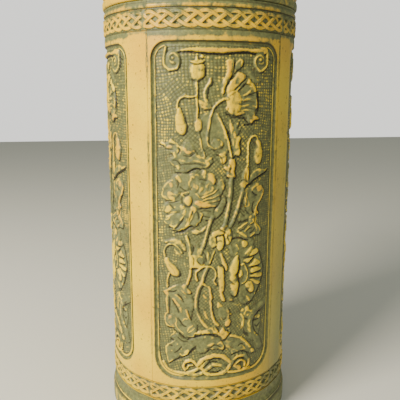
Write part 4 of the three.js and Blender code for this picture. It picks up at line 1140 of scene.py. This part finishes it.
stem([(31, 313), (28.6, 303), (26, 295), (23.4, 288), (21, 281), (18.4, 275), (15.6, 270)], 4.4, tone=-0.34)
ridges([[(28.8, 309), (25.6, 299), (21.8, 288), (17.6, 277)]], width=1.4, rise=0.2, tone=0.75)
stem([(-6, 282), (-9.2, 274), (-11.2, 266), (-13.6, 258), (-16.2, 250), (-18.6, 243), (-20, 239)], 4.4,
     tone=-0.1)
ridges([[(-9.6, 279), (-11.4, 271), (-13.4, 262), (-16.6, 252)]], width=1.5, rise=0.2, tone=0.55)
stem([(-24, 206), (-25, 210), (-24.5, 216), (-18, 222), (-13, 222.8), (-8, 222), (-4, 219.5), (-2, 216),
      (-1.5, 211), (-3.5, 204), (-1, 200)], 2.3, tone=0.18)
stem([(-12, 221), (-15, 213), (-19, 201), (-23.5, 190), (-25, 176), (-24.5, 170), (-21, 160), (-15, 151),
      (-11, 147), (-7, 144), (1, 139)], 4.6, tone=-0.22)
ridges([[(-14.6, 217), (-18, 207), (-22.6, 195), (-26, 182), (-26, 172)],
        [(-24, 165), (-19, 156), (-13, 148.6)]], width=1.6, rise=0.2, tone=0.7)
stem([(-17, 202), (-12.6, 199), (-9, 195.5), (-7, 185), (-7.4, 178), (-6, 164), (-3, 155), (2, 148)], 2.9,
     tone=0.14)
ridges([[(-17, 171), (-15, 166), (-12, 160), (-10, 157)], [(-14, 163), (-11.6, 158.6)]], width=2, tone=0.5)

# pod, buds and their crowns
form([(-30.5, 449.5), (-24.5, 450.2), (-18.5, 449.5), (-16, 443), (-16.3, 437), (-19, 434), (-24.5, 431.6),
      (-31, 435), (-32.8, 441), (-32.3, 446)], 2.7, edge=5, tone=0.42, tint=0.12, under=1.0)
ridges([[(-28.5, 448), (-29, 441), (-27.5, 434)], [(-21, 448), (-20.4, 441), (-21.6, 434)]], width=2,
       rise=0.35, tone=0.15)
cuts([[(-24.6, 448), (-24.8, 441), (-24.6, 434)]], width=1.1, depth=0.25, ink=0.3)
form([(-32.5, 452), (-28, 452.6), (-24.5, 453.6), (-20, 452.8), (-16.4, 451.6), (-18, 449.6), (-24, 449),
      (-30.6, 449.4)], 2.6, edge=1.6, tone=0.4, tint=0.1)
form([(-20.5, 456), (-19.5, 459), (-17, 457), (-18.4, 454.6)], 2, tone=0.4)
form([(-26.5, 453), (-25, 457.6), (-23, 453.4)], 2, tone=0.3)
cuts([[(-31.6, 449.8), (-24.5, 448.6), (-17, 449.8)], [(-31, 434), (-27, 431), (-22, 430)]], width=1.4)
form([(-46.5, 401.5), (-48.8, 396), (-49.2, 387), (-48, 379.5), (-45, 375.6), (-41, 373.6), (-37.6, 375),
      (-35.6, 378.5), (-35.8, 384), (-38.5, 391), (-41, 398), (-43, 402.4)], 2.8, edge=5, tone=0.38,
     tint=0.15, under=1.0)
cuts([[(-49, 386), (-43, 385), (-36.6, 386.4)], [(-47, 397), (-44, 396), (-41, 397)]], width=1.1, depth=0.3,
     ink=0.4)
form([(46.5, 366), (47.4, 361), (44.6, 353), (45, 347), (47.5, 341), (51, 339.4), (54.6, 340.5), (56.6, 347),
      (57.6, 353), (55.6, 360), (54, 365.4), (50.6, 368.4)], 2.8, edge=5, tone=0.36, tint=0.25, under=1.0)
cuts([[(46, 353), (51, 351.4), (57, 353)]], width=1.1, depth=0.3, ink=0.4)
form([(-63, 231), (-59, 232.4), (-55.6, 228.4), (-51, 224), (-47, 219.4), (-44.2, 214), (-45, 210.2),
      (-48, 209.6), (-53, 210.6), (-57, 213.6), (-60.4, 219.6), (-63, 226)], 2.9, edge=5, tone=0.42,
     under=1.0)
ridges([[(-59, 232), (-55, 230), (-50, 227.5)]], width=1.8)
cuts([[(-57, 224), (-53, 220), (-49, 213)]], width=1.3, depth=0.4, ink=0.6)
stem([(-57.5, 213), (-59, 206), (-60, 196)], 2.3)

# roots, the smooth arched leaf and the leaves at the foot of the panel
form([(-50, 119), (-45, 123), (-35, 131), (-25, 134), (-9, 137), (2, 134.5), (9, 131.6), (16, 134),
      (25, 132.5), (35, 127), (42, 121), (50, 112), (56, 103), (48, 104), (44, 106), (38, 110), (30, 108),
      (22, 110), (16, 116), (10, 119), (5, 121), (-2, 123.5), (-8, 120), (-14, 114), (-20, 113), (-25, 121),
      (-31, 117), (-35, 111), (-42, 107), (-46, 106), (-58, 99), (-62, 110)], 1.1, edge=1.6, tone=-0.25,
     under=1.0, soft=False)
stem([(70, 168), (61, 163), (53, 159), (46.6, 151), (45, 140), (49, 129), (57, 121), (62, 110)], 8.5,
     rise=1.3, tone=-0.2, under=1.0)
cuts([[(66, 160), (58, 155), (52, 149), (50.4, 140), (54, 131), (61, 124)]], width=2.4)
cuts([[(-52, 118), (-45, 124), (-35, 130.6), (-25, 134.4), (-12, 137), (0, 134.4), (9, 131)]], width=2.6,
     depth=0.9)
stem([(18, 133.6), (25, 131.4), (30, 128.5), (35, 125), (40, 120), (46, 113)], 3.6, tone=0.32, under=0.9)
patches([[(46.6, 109), (49, 111), (53, 107), (50, 104.6)], [(53.6, 104), (56, 101), (54.6, 98)]], tone=0.6,
        rise=0.8)
form([(4, 141), (8, 145.4), (11.4, 141), (14, 139.6), (18, 138), (14, 134), (11.6, 130.6), (9, 129.6),
      (6, 133), (1, 138)], 2.2, edge=1.8, tone=0.45, tint=0.1, under=1.0, soft=False)
form([(-28, 139), (-20, 142), (-12, 144), (-6, 147), (-1, 144), (2, 139), (-6, 138), (-12, 138),
      (-20, 137)], 1.8, tone=0.05, lip=0.45, under=0.7)
patches([[(-15.4, 141), (-11, 143), (-8.4, 140), (-12, 138.4)]], tone=0.45)
ridges([[(-3, 148), (0, 142.6), (5, 136)], [(-6, 146), (-3, 141), (2, 137.6)]], width=2)
cuts([[(14, 141.4), (16, 137), (20, 137)], [(4, 132), (8, 127.6), (13, 129.6)],
      [(-1, 147), (2.4, 142.4), (4, 137)]], width=1.8)
form([(-50, 142), (-46, 139), (-57.6, 132), (-51, 129.5), (-58, 124), (-64, 119), (-62.6, 110), (-59, 98),
      (-53, 102.4), (-46.5, 106), (-42, 107), (-35, 111), (-29, 118), (-26, 123), (-31, 128), (-42, 132)],
     1.2, edge=1.4, dish=0.3, tone=-0.2, lip=0.2, under=1.0, soft=False)
ridges([[(-58, 132), (-55, 136), (-51, 140)], [(-57.4, 123.6), (-54, 126.6), (-50, 129.4)],
        [(-63, 118), (-60.6, 121), (-58, 124)], [(-62, 118), (-61, 106), (-59, 98.5)],
        [(-58, 99), (-55, 102.6), (-52, 105)]], width=2, tone=0.5)
patches([[(-46.6, 112), (-44, 113.4), (-41, 111), (-38, 117), (-34, 119), (-32.6, 115), (-37, 110),
          (-43, 109)], [(-44.4, 119), (-42, 119.6), (-41.6, 117), (-44, 116.4)],
         [(-56, 116), (-54, 116.4), (-53.6, 114), (-56, 113.6)],
         [(-49, 125), (-47, 125.4), (-46.6, 123), (-49, 122.6)]], tone=0.7, rise=0.6)
cuts([[(-50, 102), (-46, 105.4), (-44, 109), (-42, 106.4), (-38, 108.4), (-34, 111.4), (-31, 116.6),
       (-28, 120.6), (-25, 121.6)], [(-57, 130), (-53, 128)], [(-58, 122), (-54, 121)],
      [(-48, 133), (-42, 129), (-34, 128)], [(-52, 112), (-47, 116), (-42, 122)]], width=2.2)
form([(-12, 121), (-10, 125.6), (-6, 127), (-2, 126), (2, 125), (6, 127.6), (10, 121), (9, 116), (2, 118),
      (-6, 118)], 1.4, edge=1.4, dish=0.3, tone=-0.15, lip=0.35)
patches([[(-10.4, 122), (-8, 126), (-4.6, 126), (-5, 121.6)]], tone=0.5, tint=0.3)
ridges([[(1, 124), (6, 126.6), (10, 120)]], width=2.2, tone=0.5)
cuts([[(-12, 119.6), (-7, 120), (-4, 122.6), (2, 122), (6, 119)], [(10.6, 122), (11.4, 117), (8, 113)]],
     width=2.2)
form([(20, 115.6), (25, 116), (30, 117.4), (34, 118.4), (40, 112), (44, 106), (36, 110.4), (31, 111),
      (25, 109.6), (20, 108)], 1.3, edge=1.4, tone=0.0, lip=0.3, under=0.9)
ridges([[(22, 115), (25.4, 113), (28, 111.4)], [(30, 116), (34, 117), (40, 111.4)]], width=2.2, tone=0.45)
cuts([[(18, 107), (25, 108.6), (31, 110), (36, 109.6), (44, 103.6)], [(28, 117), (31, 119.6), (36, 119)]],
     width=2.2)
form([(19, 101), (22, 107), (30, 108.6), (38, 107), (43, 101), (36, 103), (28, 104.6)], 1.1, tone=-0.05)
cuts([[(24, 102), (25, 108)], [(29, 104), (30, 109)], [(34, 103), (36, 108)]], width=1.4)
ridges([[(26.4, 103), (27.6, 108)], [(31.6, 104), (33, 109)]], width=1.6, tone=0.3)

# the twisted ribbon along the bottom
stem([(-66, 98), (-61, 91), (-53, 87), (-42, 86), (-32, 88), (-24, 91.6), (-17, 97), (-11, 102)], 4.6,
     rise=2.1, tone=0.38, under=1.0, hollow=0.6)
for loop, broad, shade, warm, sunk in (
    ([(-38, 91), (-40, 96), (-38, 101), (-32, 103.4), (-27, 101), (-21, 95.6), (-13, 90)], 3.8, 0.38, 0.3,
     0.0),
    ([(-35.6, 92.6), (-34, 96.6), (-29, 98)], 1.8, 0.3, 0.0, 0.0),
    ([(-22, 99), (-16, 105), (-9, 108), (-1, 109.6), (7, 107.4), (14, 102.4), (20, 97.6), (26, 91.6),
      (31, 88)], 5.4, 0.4, 0.3, 0.35),
    ([(-34, 85.6), (-26, 84.6), (-18, 87), (-10, 93), (-2, 97), (6, 96), (12, 92)], 4.4, 0.3, 0.0, 0.7),
    ([(-14, 88), (-9, 84.6), (-2, 83.4), (6, 84), (12, 87), (17, 92), (20, 97.6)], 5, 0.36, 0.0, 0.6),
    ([(20, 96), (23, 101), (29, 104), (38, 102.4), (44, 97), (44, 90), (38, 86)], 3.6, 0.34, 0.0, 0.5),
    ([(26, 95.6), (32, 98.4), (38, 95), (38.4, 89.6)], 2.6, 0.3, 0.0, 0.0),
    ([(16, 85.6), (22, 84.4), (30, 84), (38, 84.4), (46, 84.6)], 3.4, 0.4, 0.0, 0.0),
):
    stem(loop, broad, rise=2.2, tone=shade, tint=warm, under=1.0, hollow=sunk)
cuts([[(-34, 99), (-30, 100), (-26, 98)], [(-8, 103.6), (0, 105), (7, 102.6)],
      [(-7, 88), (0, 86.6), (7, 88.6)], [(27, 101), (33, 101), (38, 98)],
      [(29, 93.6), (33, 94.6), (34, 90)], [(-12, 98), (-6, 100.6), (1, 100.6)]], width=1.8, depth=0.9)

# the ribbon under the top edge, with a volute at each end
form([(-50, 460), (-47, 462.6), (-35, 465), (-20, 465.6), (0, 465.6), (20, 465.8), (30, 465.8), (38, 465),
      (46, 466.4), (52, 468.6), (58, 468.6), (61, 466), (60, 462.6), (55, 461), (48, 461.6), (40, 462.4),
      (30, 463), (20, 461.8), (10, 460.8), (0, 460), (-20, 461), (-30, 462), (-40, 462.3), (-46, 461.2)],
     2.4, edge=2, tone=0.3, tint=0.4, under=0.5)
patches([[(-22, 464.6), (0, 465), (2, 461.4), (-20, 462)],
         [(10, 464.6), (24, 465), (25, 463.4), (12, 462)]], rise=0.1, tone=0.05, tint=0.95)
cuts([[(-50, 458.8), (-46, 460.2), (-40, 460.8), (-30, 460.6), (-20, 459.6), (0, 458.6), (10, 459.4),
       (20, 460.3), (30, 461.4), (40, 460.8), (48, 459.6), (58, 460)]], width=2.2, depth=1)
for middle in (-51.5, 50.5):
    form([(middle + 9 * cos(k * pi / 6), 453 + 9.6 * sin(k * pi / 6)) for k in range(12)], 1.2, edge=1.6,
         tone=-0.25)
stem([(-59, 466), (-61, 458), (-61.5, 452), (-59.6, 447), (-55.5, 443.8), (-50, 443.4), (-46, 445.5),
      (-43.8, 450), (-44.6, 455), (-48, 459), (-52, 459.4), (-54.8, 457), (-54.8, 453.5), (-52.5, 450.5),
      (-49.5, 450.2)], 3.0, rise=2.1, tone=0.06)
stem([(60, 464), (61, 455), (60.6, 450), (58, 446), (54, 443.4), (50, 442.8), (46, 445), (43, 449.4),
      (42.8, 453.4), (44.6, 457), (48, 458.8), (51, 458.6), (53.8, 456), (54, 452.5), (52, 450.5),
      (49, 450.5)], 3.2, rise=2.1, tone=0.1)
form([(-53, 455), (-51.5, 457), (-49.5, 455), (-51.5, 453)], 2.2, edge=1.6, tone=0.3)
form([(47.4, 454.6), (50.4, 457), (52.6, 454.6), (50.4, 452)], 2.2, edge=1.6, tone=0.45)
cuts([[(61, 453), (65, 451)], [(60, 449), (65, 446)], [(63, 457), (67, 455)]], width=1.6)


def look_up(chart, along, height, step=GRID_STEP):
    """The chart's value at each place, between its points."""
    column = np.clip((along - across[0]) / step, 0, chart.shape[1] - 1.001)
    row = np.clip((height - upward[0]) / step, 0, chart.shape[0] - 1.001)
    left, low = column.astype(int), row.astype(int)
    right, high = column - left, row - low
    below = chart[low, left] * (1 - right) + chart[low, left + 1] * right
    above = chart[low + 1, left] * (1 - right) + chart[low + 1, left + 1] * right
    return below * (1 - high) + above * high


def blurred(chart, radius):
    """The chart, averaged over a square of that half-width in mm, twice."""
    half = max(1, round(radius / GRID_STEP))
    for axis in (0, 1, 0, 1):
        padding = [(half + 1, half) if axis == k else (0, 0) for k in (0, 1)]
        total = np.cumsum(np.pad(chart, padding, mode="edge"), axis=axis)
        size = 2 * half + 1
        if axis == 0:
            chart = (total[size:] - total[:-size]) / size
        else:
            chart = (total[:, size:] - total[:, :-size]) / size
    return chart


UNEVEN_HEIGHT = 400
UNEVEN_WIDTH = 150


def uneven_hand(size, seed):
    """Soft patches of that size in mm, from -1 to 1, as the hand leaves in clay and wash."""
    patches_up, patches_across = int(UNEVEN_HEIGHT / size) + 3, int(UNEVEN_WIDTH / size) + 3
    cells = np.random.default_rng(seed).uniform(-1, 1, (patches_up, patches_across))
    return blurred(look_up(cells, u, v, size), size / 3)


# the ground's stipple: pads between the marks of a toothed tool, which was
# held at another angle from patch to patch (middle, height, turn in degrees,
# pitch across and along, how pale the pads were wiped)
TOOL_MARKS = (
    (-2, 447, 0, 4.0, 3.4, 0.9), (-38, 446, 3, 4.0, 3.4, 0.8), (36, 450, 0, 3.8, 3.4, 0.7),
    (60, 424, 0, 3.5, 3.4, 1.0), (64, 402, -4, 3.5, 3.4, 0.9), (-62, 440, 8, 3.9, 3.5, 0.8),
    (-52, 422, 38, 4.2, 3.6, 0.7), (-62, 400, 12, 3.6, 3.3, 0.9), (-60, 382, 0, 3.3, 3.3, 1.2),
    (-34, 402, 6, 3.9, 3.4, 0.8), (-6, 416, 12, 3.8, 3.4, 0.7), (-34, 368, 48, 3.6, 3.4, 0.6),
    (-60, 336, 10, 3.2, 3.0, 0.6), (30, 374, 42, 4.0, 3.4, 0.5), (22, 352, 48, 4.0, 3.4, 0.5),
    (58, 378, -5, 3.3, 3.0, 1.0), (60, 350, 4, 3.2, 3.0, 1.1), (64, 326, 0, 3.2, 3.0, 0.9),
    (-8, 332, 40, 3.6, 3.4, 0.5), (24, 318, 30, 3.8, 3.2, 0.5), (4, 288, 40, 3.7, 3.4, 0.5),
    (46, 322, 20, 3.3, 3.1, 0.6), (62, 282, 2, 3.4, 2.5, 0.8), (62, 246, 4, 3.6, 2.4, 0.6),
    (-64, 270, 8, 3.4, 3.2, 0.9), (-46, 256, 10, 3.3, 3.1, 0.9), (-20, 262, 30, 3.3, 3.2, 0.6),
    (-52, 240, -10, 3.2, 3.0, 0.8), (-62, 208, 10, 3.4, 3.0, 0.8), (-44, 206, 20, 3.2, 3.0, 0.7),
    (-4, 236, 35, 3.5, 3.2, 0.5), (-10, 208, 45, 3.4, 3.2, 0.5), (12, 244, 40, 3.4, 3.2, 0.5),
    (4, 188, 35, 3.4, 3.2, 0.6), (64, 190, 0, 3.4, 2.6, 0.6), (-18, 178, 45, 3.4, 3.2, 0.6),
    (24, 160, 30, 3.2, 3.0, 0.6), (52, 176, 20, 3.3, 3.0, 0.5), (-66, 170, 5, 3.3, 3.0, 0.7),
    (22, 142, 35, 3.4, 3.1, 0.6), (-62, 140, 10, 3.3, 3.0, 0.7), (64, 130, 10, 3.3, 2.6, 0.5),
    (-50, 96, 15, 3.3, 3.0, 0.6), (60, 112, 20, 3.3, 3.0, 0.5),
)
PAD_COLUMNS = 97
PAD_ROWS = 89
pads = np.zeros(u.shape)
paleness = np.zeros(u.shape)
nearest = np.full(u.shape, 1e9)
wander = 4 * uneven_hand(9, 1)
sway = 0.7 * uneven_hand(7, 2)
pad_shades = np.random.default_rng(3).uniform(0.45, 1.25, (PAD_COLUMNS, PAD_ROWS))
for middle, height, turned, wide, tall, pale in TOOL_MARKS:
    distance = np.hypot(u - middle, 0.8 * (v - height)) + wander
    closer = distance < nearest
    turned_cos, turned_sin = cos(radians(turned)), sin(radians(turned))
    mark_u = ((u - middle) * turned_cos + (v - height) * turned_sin + sway) / wide
    mark_v = ((v - height) * turned_cos - (u - middle) * turned_sin - sway) / tall
    dot = np.minimum(np.abs(np.sin(pi * mark_u)), np.abs(np.sin(pi * mark_v)))
    pad_column = np.floor(mark_u).astype(int) % PAD_COLUMNS
    pad_row = np.floor(mark_v).astype(int) % PAD_ROWS
    shade = pad_shades[pad_column, pad_row]
    pads = np.where(closer, ease(0.15, 0.6, dot), pads)
    paleness = np.where(closer, pale * shade, paleness)
    nearest = np.minimum(nearest, distance)

# petals and leaves are creased along their length, away from where each one
# grows: place, reach, creases all round and how strong they are
CREASED = (
    (-34, 300, 36, 44, 1.0), (30, 208, 36, 44, 0.3), (15, 408, 34, 50, 1.0), (-12, 342, 54, 58, 0.9),
    (30, 274, 46, 58, 0.9), (-28, 176, 42, 58, 1.0), (-22, 120, 44, 58, 0.8), (48, 126, 38, 50, 0.9),
    (0, 352, 46, 50, 0.6), (8, 146, 22, 40, 0.6), (18, 246, 32, 44, 0.3),
)
CREASE_RINGS = 8
CREASE_LENGTH = 9
for number, (middle, height, reach, count, strong) in enumerate(CREASED):
    away = np.hypot(u - middle, v - height)
    turned = np.arctan2(v - height, u - middle) / (2 * pi) % 1 * count
    cells = np.random.default_rng(20 + number).uniform(-1, 1, (CREASE_RINGS, count + 2))
    cells[:, count:] = cells[:, :2]
    crease = look_up(cells, across[0] + turned, upward[0] + away / CREASE_LENGTH, 1)
    crease *= strong * ease(reach, 0.7 * reach, away) * ease(3, 7, away) * ease(0.5, 1.1, relief)
    relief += 0.4 * crease
    bright += 0.5 * crease

# the bead at the sheet's edge, thicker and paler in the lower corners, which
# runs out under the ribbons at the top and the bottom
inside = outline_gap(u, v, SHEET_INSET)
low_corner = ease(118, 98, v) * ease(34, 54, np.abs(u))
bead_half = BEAD_HALF + BEAD_THICKER * low_corner
under_ribbon = ease(459, 463, v) * ease(61, 58, np.abs(u)) + ease(92, 88, v) * ease(46, 34, np.abs(u))
bead = np.sqrt(np.clip(1 - ((inside - BEAD_FROM - bead_half) / bead_half) ** 2, 0, 1)) * (1 - under_ribbon)
crop = inside > 2 * bead_half + 1.1 - under_ribbon
ground = ease(0.35, 0.05, relief) * crop
relief = np.where(crop, relief, np.minimum(relief, 0.2))
relief += 0.55 * pads * ground
beaded = (bead > 0) & (BEAD_RISE * bead > relief)
relief = np.where(beaded, BEAD_RISE * bead, relief)
bead_bright = 0.34 + 0.2 * low_corner + 0.25 * ease(40, 66, u) - 0.1 * ease(380, 440, v)
bright = np.where(beaded, bead_bright + 0.14 * uneven_hand(12, 4), np.where(crop, bright, -0.1))
edge_line = along_line(inside, 2 * bead_half + 1.2, 0.55) * (1 - under_ribbon)
inked_and_shadowed = np.where(beaded, 0, np.maximum(inked_and_shadowed * crop, edge_line * np.where(u < 60, 0.8, 0.5)))
tinted = np.where(beaded, 0.1, tinted)

# the hand's unevenness: every edge wanders a little, and forms and wash are
# nowhere quite smooth
drift_u = 0.75 * uneven_hand(4.5, 5) + 0.45 * uneven_hand(2, 6)
drift_v = 0.75 * uneven_hand(4.5, 7) + 0.45 * uneven_hand(2, 8)
keep = ease(3, 8, inside)
relief, bright, tinted, inked_and_shadowed, pads = (look_up(chart, u + keep * drift_u, v + keep * drift_v)
                                       for chart in (relief, bright, tinted, inked_and_shadowed, pads))
worked = ease(0.3, 0.9, relief)
relief += worked * (0.16 * uneven_hand(2.4, 9) + 0.14 * uneven_hand(5, 10))
relief = blurred(relief, 0.4)
wide = blurred(relief, 2.4)
near = blurred(relief, 0.8)
lifted = np.clip(relief / 2.3, 0, 1)
# how far wiped, with the painted highlights carried in from the forms and stems
wipe_and_highlight_map = 0.04 + 0.22 * lifted + 0.4 * (relief - wide) + 0.95 * bright + 0.4 * pads * paleness * ground
wipe_and_highlight_map += (0.34 * uneven_hand(2.2, 11) + 0.28 * uneven_hand(6, 14)) * worked + 0.08 * uneven_hand(14, 12)
# painted shadow at the lower right foot of every step, as though lit from the upper left
shadow_side = np.roll(np.roll(near, 3, axis=1), -3, axis=0) - near
sunk = np.clip(near - relief - 0.06, 0, 1)
dark_map = 0.92 * inked_and_shadowed + 0.7 * sunk + 0.5 * np.clip(shadow_side - 0.35, 0, 1)
dark_map += (0.5 + 0.15 * uneven_hand(8, 13)) * ground * (1 - pads)
tan_map = 0.65 * tinted * ease(0.15, 0.8, lifted)


def corner_rows(edge, radius, inward):
    """Heights of the rows through a rounded corner, at even steps along it."""
    return edge + inward * radius * (1 - np.cos(np.arange(0, pi / 2, CORNER_STEP / radius)))


sheet_low, sheet_high = PANEL_LOW + SHEET_INSET, PANEL_HIGH - SHEET_INSET
sheet_half = PANEL_HALF - SHEET_INSET
low_radius, high_radius = LOW_CORNER - SHEET_INSET, HIGH_CORNER - SHEET_INSET
heights = np.concatenate((
    corner_rows(sheet_low, low_radius, 1),
    np.linspace(sheet_low + low_radius, sheet_high - high_radius, SHEET_ROWS),
    corner_rows(sheet_high, high_radius, -1)[::-1],
))
low_reach = np.clip(sheet_low + low_radius - heights, 0, None)
high_reach = np.clip(heights - sheet_high + high_radius, 0, None)
half_widths = sheet_half - low_radius + np.sqrt(np.maximum(low_radius ** 2 - low_reach ** 2, 0))
half_widths -= high_radius - np.sqrt(np.maximum(high_radius ** 2 - high_reach ** 2, 0))
beside = np.array(EDGE_COLUMNS)
between = np.linspace(EDGE_WIDTH - sheet_half, sheet_half - EDGE_WIDTH, SHEET_COLUMNS)
places = np.concatenate((beside - sheet_half, between, (sheet_half - beside)[::-1])) / sheet_half

bpy.ops.object.select_all(action="DESELECT")
bpy.ops.mesh.primitive_grid_add(x_subdivisions=len(places) - 1, y_subdivisions=len(heights) - 1, size=1)
pattern = bpy.context.object
pattern.name = pattern.data.name = "poppy_sheet_front"
x, y, z = (read_points(pattern.data) * MM).T
row = np.round((y + 0.5) * (len(heights) - 1)).astype(int)
column = np.round((x + 0.5) * (len(places) - 1)).astype(int)
along = places[column] * half_widths[row]
height = heights[row]
turn = along / KINK_RADIUS
write_points(pattern.data, turn, plan(turn) + GROUND + look_up(relief, along, height), height)
paint(pattern.data, wiped=look_up(wipe_and_highlight_map, along, height), dark=look_up(dark_map, along, height),
      tan=look_up(tan_map, along, height))

# the sheet's edge: a thin flange that laps the bed's rim, then the sheet's
# thickness, and its flat back closed towards a line up the middle
NUDGE = 0.1
bpy.ops.object.mode_set(mode="EDIT")
bpy.ops.mesh.select_all(action="SELECT")
bpy.ops.mesh.region_to_loop()
for drawn_in, share, back in (
    (0, 0, FLANGE_BACK), (FLANGE, 0, FLANGE_BACK), (FLANGE, 0, SHEET_BACK), (FLANGE, 0.25, SHEET_BACK),
    (FLANGE, 0.5, SHEET_BACK), (FLANGE, 0.75, SHEET_BACK), (FLANGE, 1, SHEET_BACK),
):
    bpy.ops.mesh.extrude_edges_move()
    bpy.ops.object.mode_set(mode="OBJECT")
    chosen = np.empty(len(pattern.data.vertices), dtype=bool)
    pattern.data.vertices.foreach_get("select", chosen)
    if drawn_in == 0:
        x, y, z = read_points(pattern.data)[chosen].T
        rim_along = np.arctan2(x, -y) * KINK_RADIUS
        rim_height = z
        middle_height = np.clip(z, sheet_low + sheet_half, sheet_high - sheet_half)
        inward_along = outline_gap(rim_along + NUDGE, z) - outline_gap(rim_along - NUDGE, z)
        inward_height = outline_gap(rim_along, z + NUDGE) - outline_gap(rim_along, z - NUDGE)
    points = read_points(pattern.data)
    edge_along = rim_along + drawn_in * inward_along / (2 * NUDGE)
    edge_height = rim_height + drawn_in * inward_height / (2 * NUDGE)
    turn = edge_along * (1 - share) / KINK_RADIUS
    radius = plan(turn) + back
    level = edge_height + (middle_height - edge_height) * share
    points[chosen] = np.column_stack((radius * np.sin(turn), -radius * np.cos(turn), level))
    pattern.data.vertices.foreach_set("co", (points * MM).ravel())
    bpy.ops.object.mode_set(mode="EDIT")
bpy.ops.mesh.select_all(action="SELECT")
bpy.ops.mesh.remove_doubles(threshold=0.005 * MM)
bpy.ops.mesh.normals_make_consistent(inside=False)
bpy.ops.object.mode_set(mode="OBJECT")
bpy.ops.object.shade_smooth_by_angle(angle=radians(75))
pattern.data.materials.append(glaze)
for quarters, side in enumerate(SIDES):
    piece = turned_copy(pattern, "poppy_sheet_" + side, quarters) if quarters else pattern
    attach(piece, "root")
    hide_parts("poppy_panel_" + side)

# Rim ring: a round moulding and a rounded lip over a sunk line, run on the
# wheel on top of the joined walls. The wash was wiped off the lip, and off the
# moulding only at its corners, its left-hand end and its upper edge.
RIM_JOINT = 515.2
MOULDING_EDGE = 524.4
MOULDING_TOP = 526
RIM_LINE = 526.7
CORNERS = (0.9, 0.98)
LEFT_END = (-66, -78)
LIP_CLEAN = (530, 548)

# the rim in section: (proud of the body's face, height)
RIM_PROFILE = [
    (-0.8, 515.1), (1.4, 517.1), (1.4, 523.9), (-0.8, 525.9), (-0.8, 527.5), (1.7, 530.9), (2.4, 539.1),
    (1.9, 546.3), (-0.6, 550.5), (-4.2, 552.3), (-7.8, 551.7), (-12, 547.5), (-12, 531), (-12, 515.1),
]

rim_ring = moulding("rim_and_lip", rounded(RIM_PROFILE, 2.4, 5), RING_STEPS)
x, y, z = read_points(rim_ring.data).T
outside = np.hypot(x, y) > OUTER_SKIN
at_corner = ease(*CORNERS, np.abs(np.sin(2 * np.arctan2(x, -y))))
bare = np.maximum(0.55 * at_corner, ease(*LEFT_END, x))
moulded = 0.2 + 0.56 * bare + 0.35 * along_line(z, MOULDING_EDGE, 1.1)
rim_wiped = np.where(z < MOULDING_TOP, moulded, 0.66 + 0.25 * ease(*LIP_CLEAN, z))
rim_dark = 0.85 * along_line(z, RIM_LINE, 0.9) + 0.6 * along_line(z, RIM_JOINT, 0.9)
paint(rim_ring.data, wiped=np.where(outside, rim_wiped, INNER_WIPED), dark=np.where(outside, rim_dark, 0),
      tan=np.where(outside, 0.15, INNER_TAN))
rim_ring.data.materials.append(glaze)
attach(rim_ring, "root")
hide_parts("rim_ring")
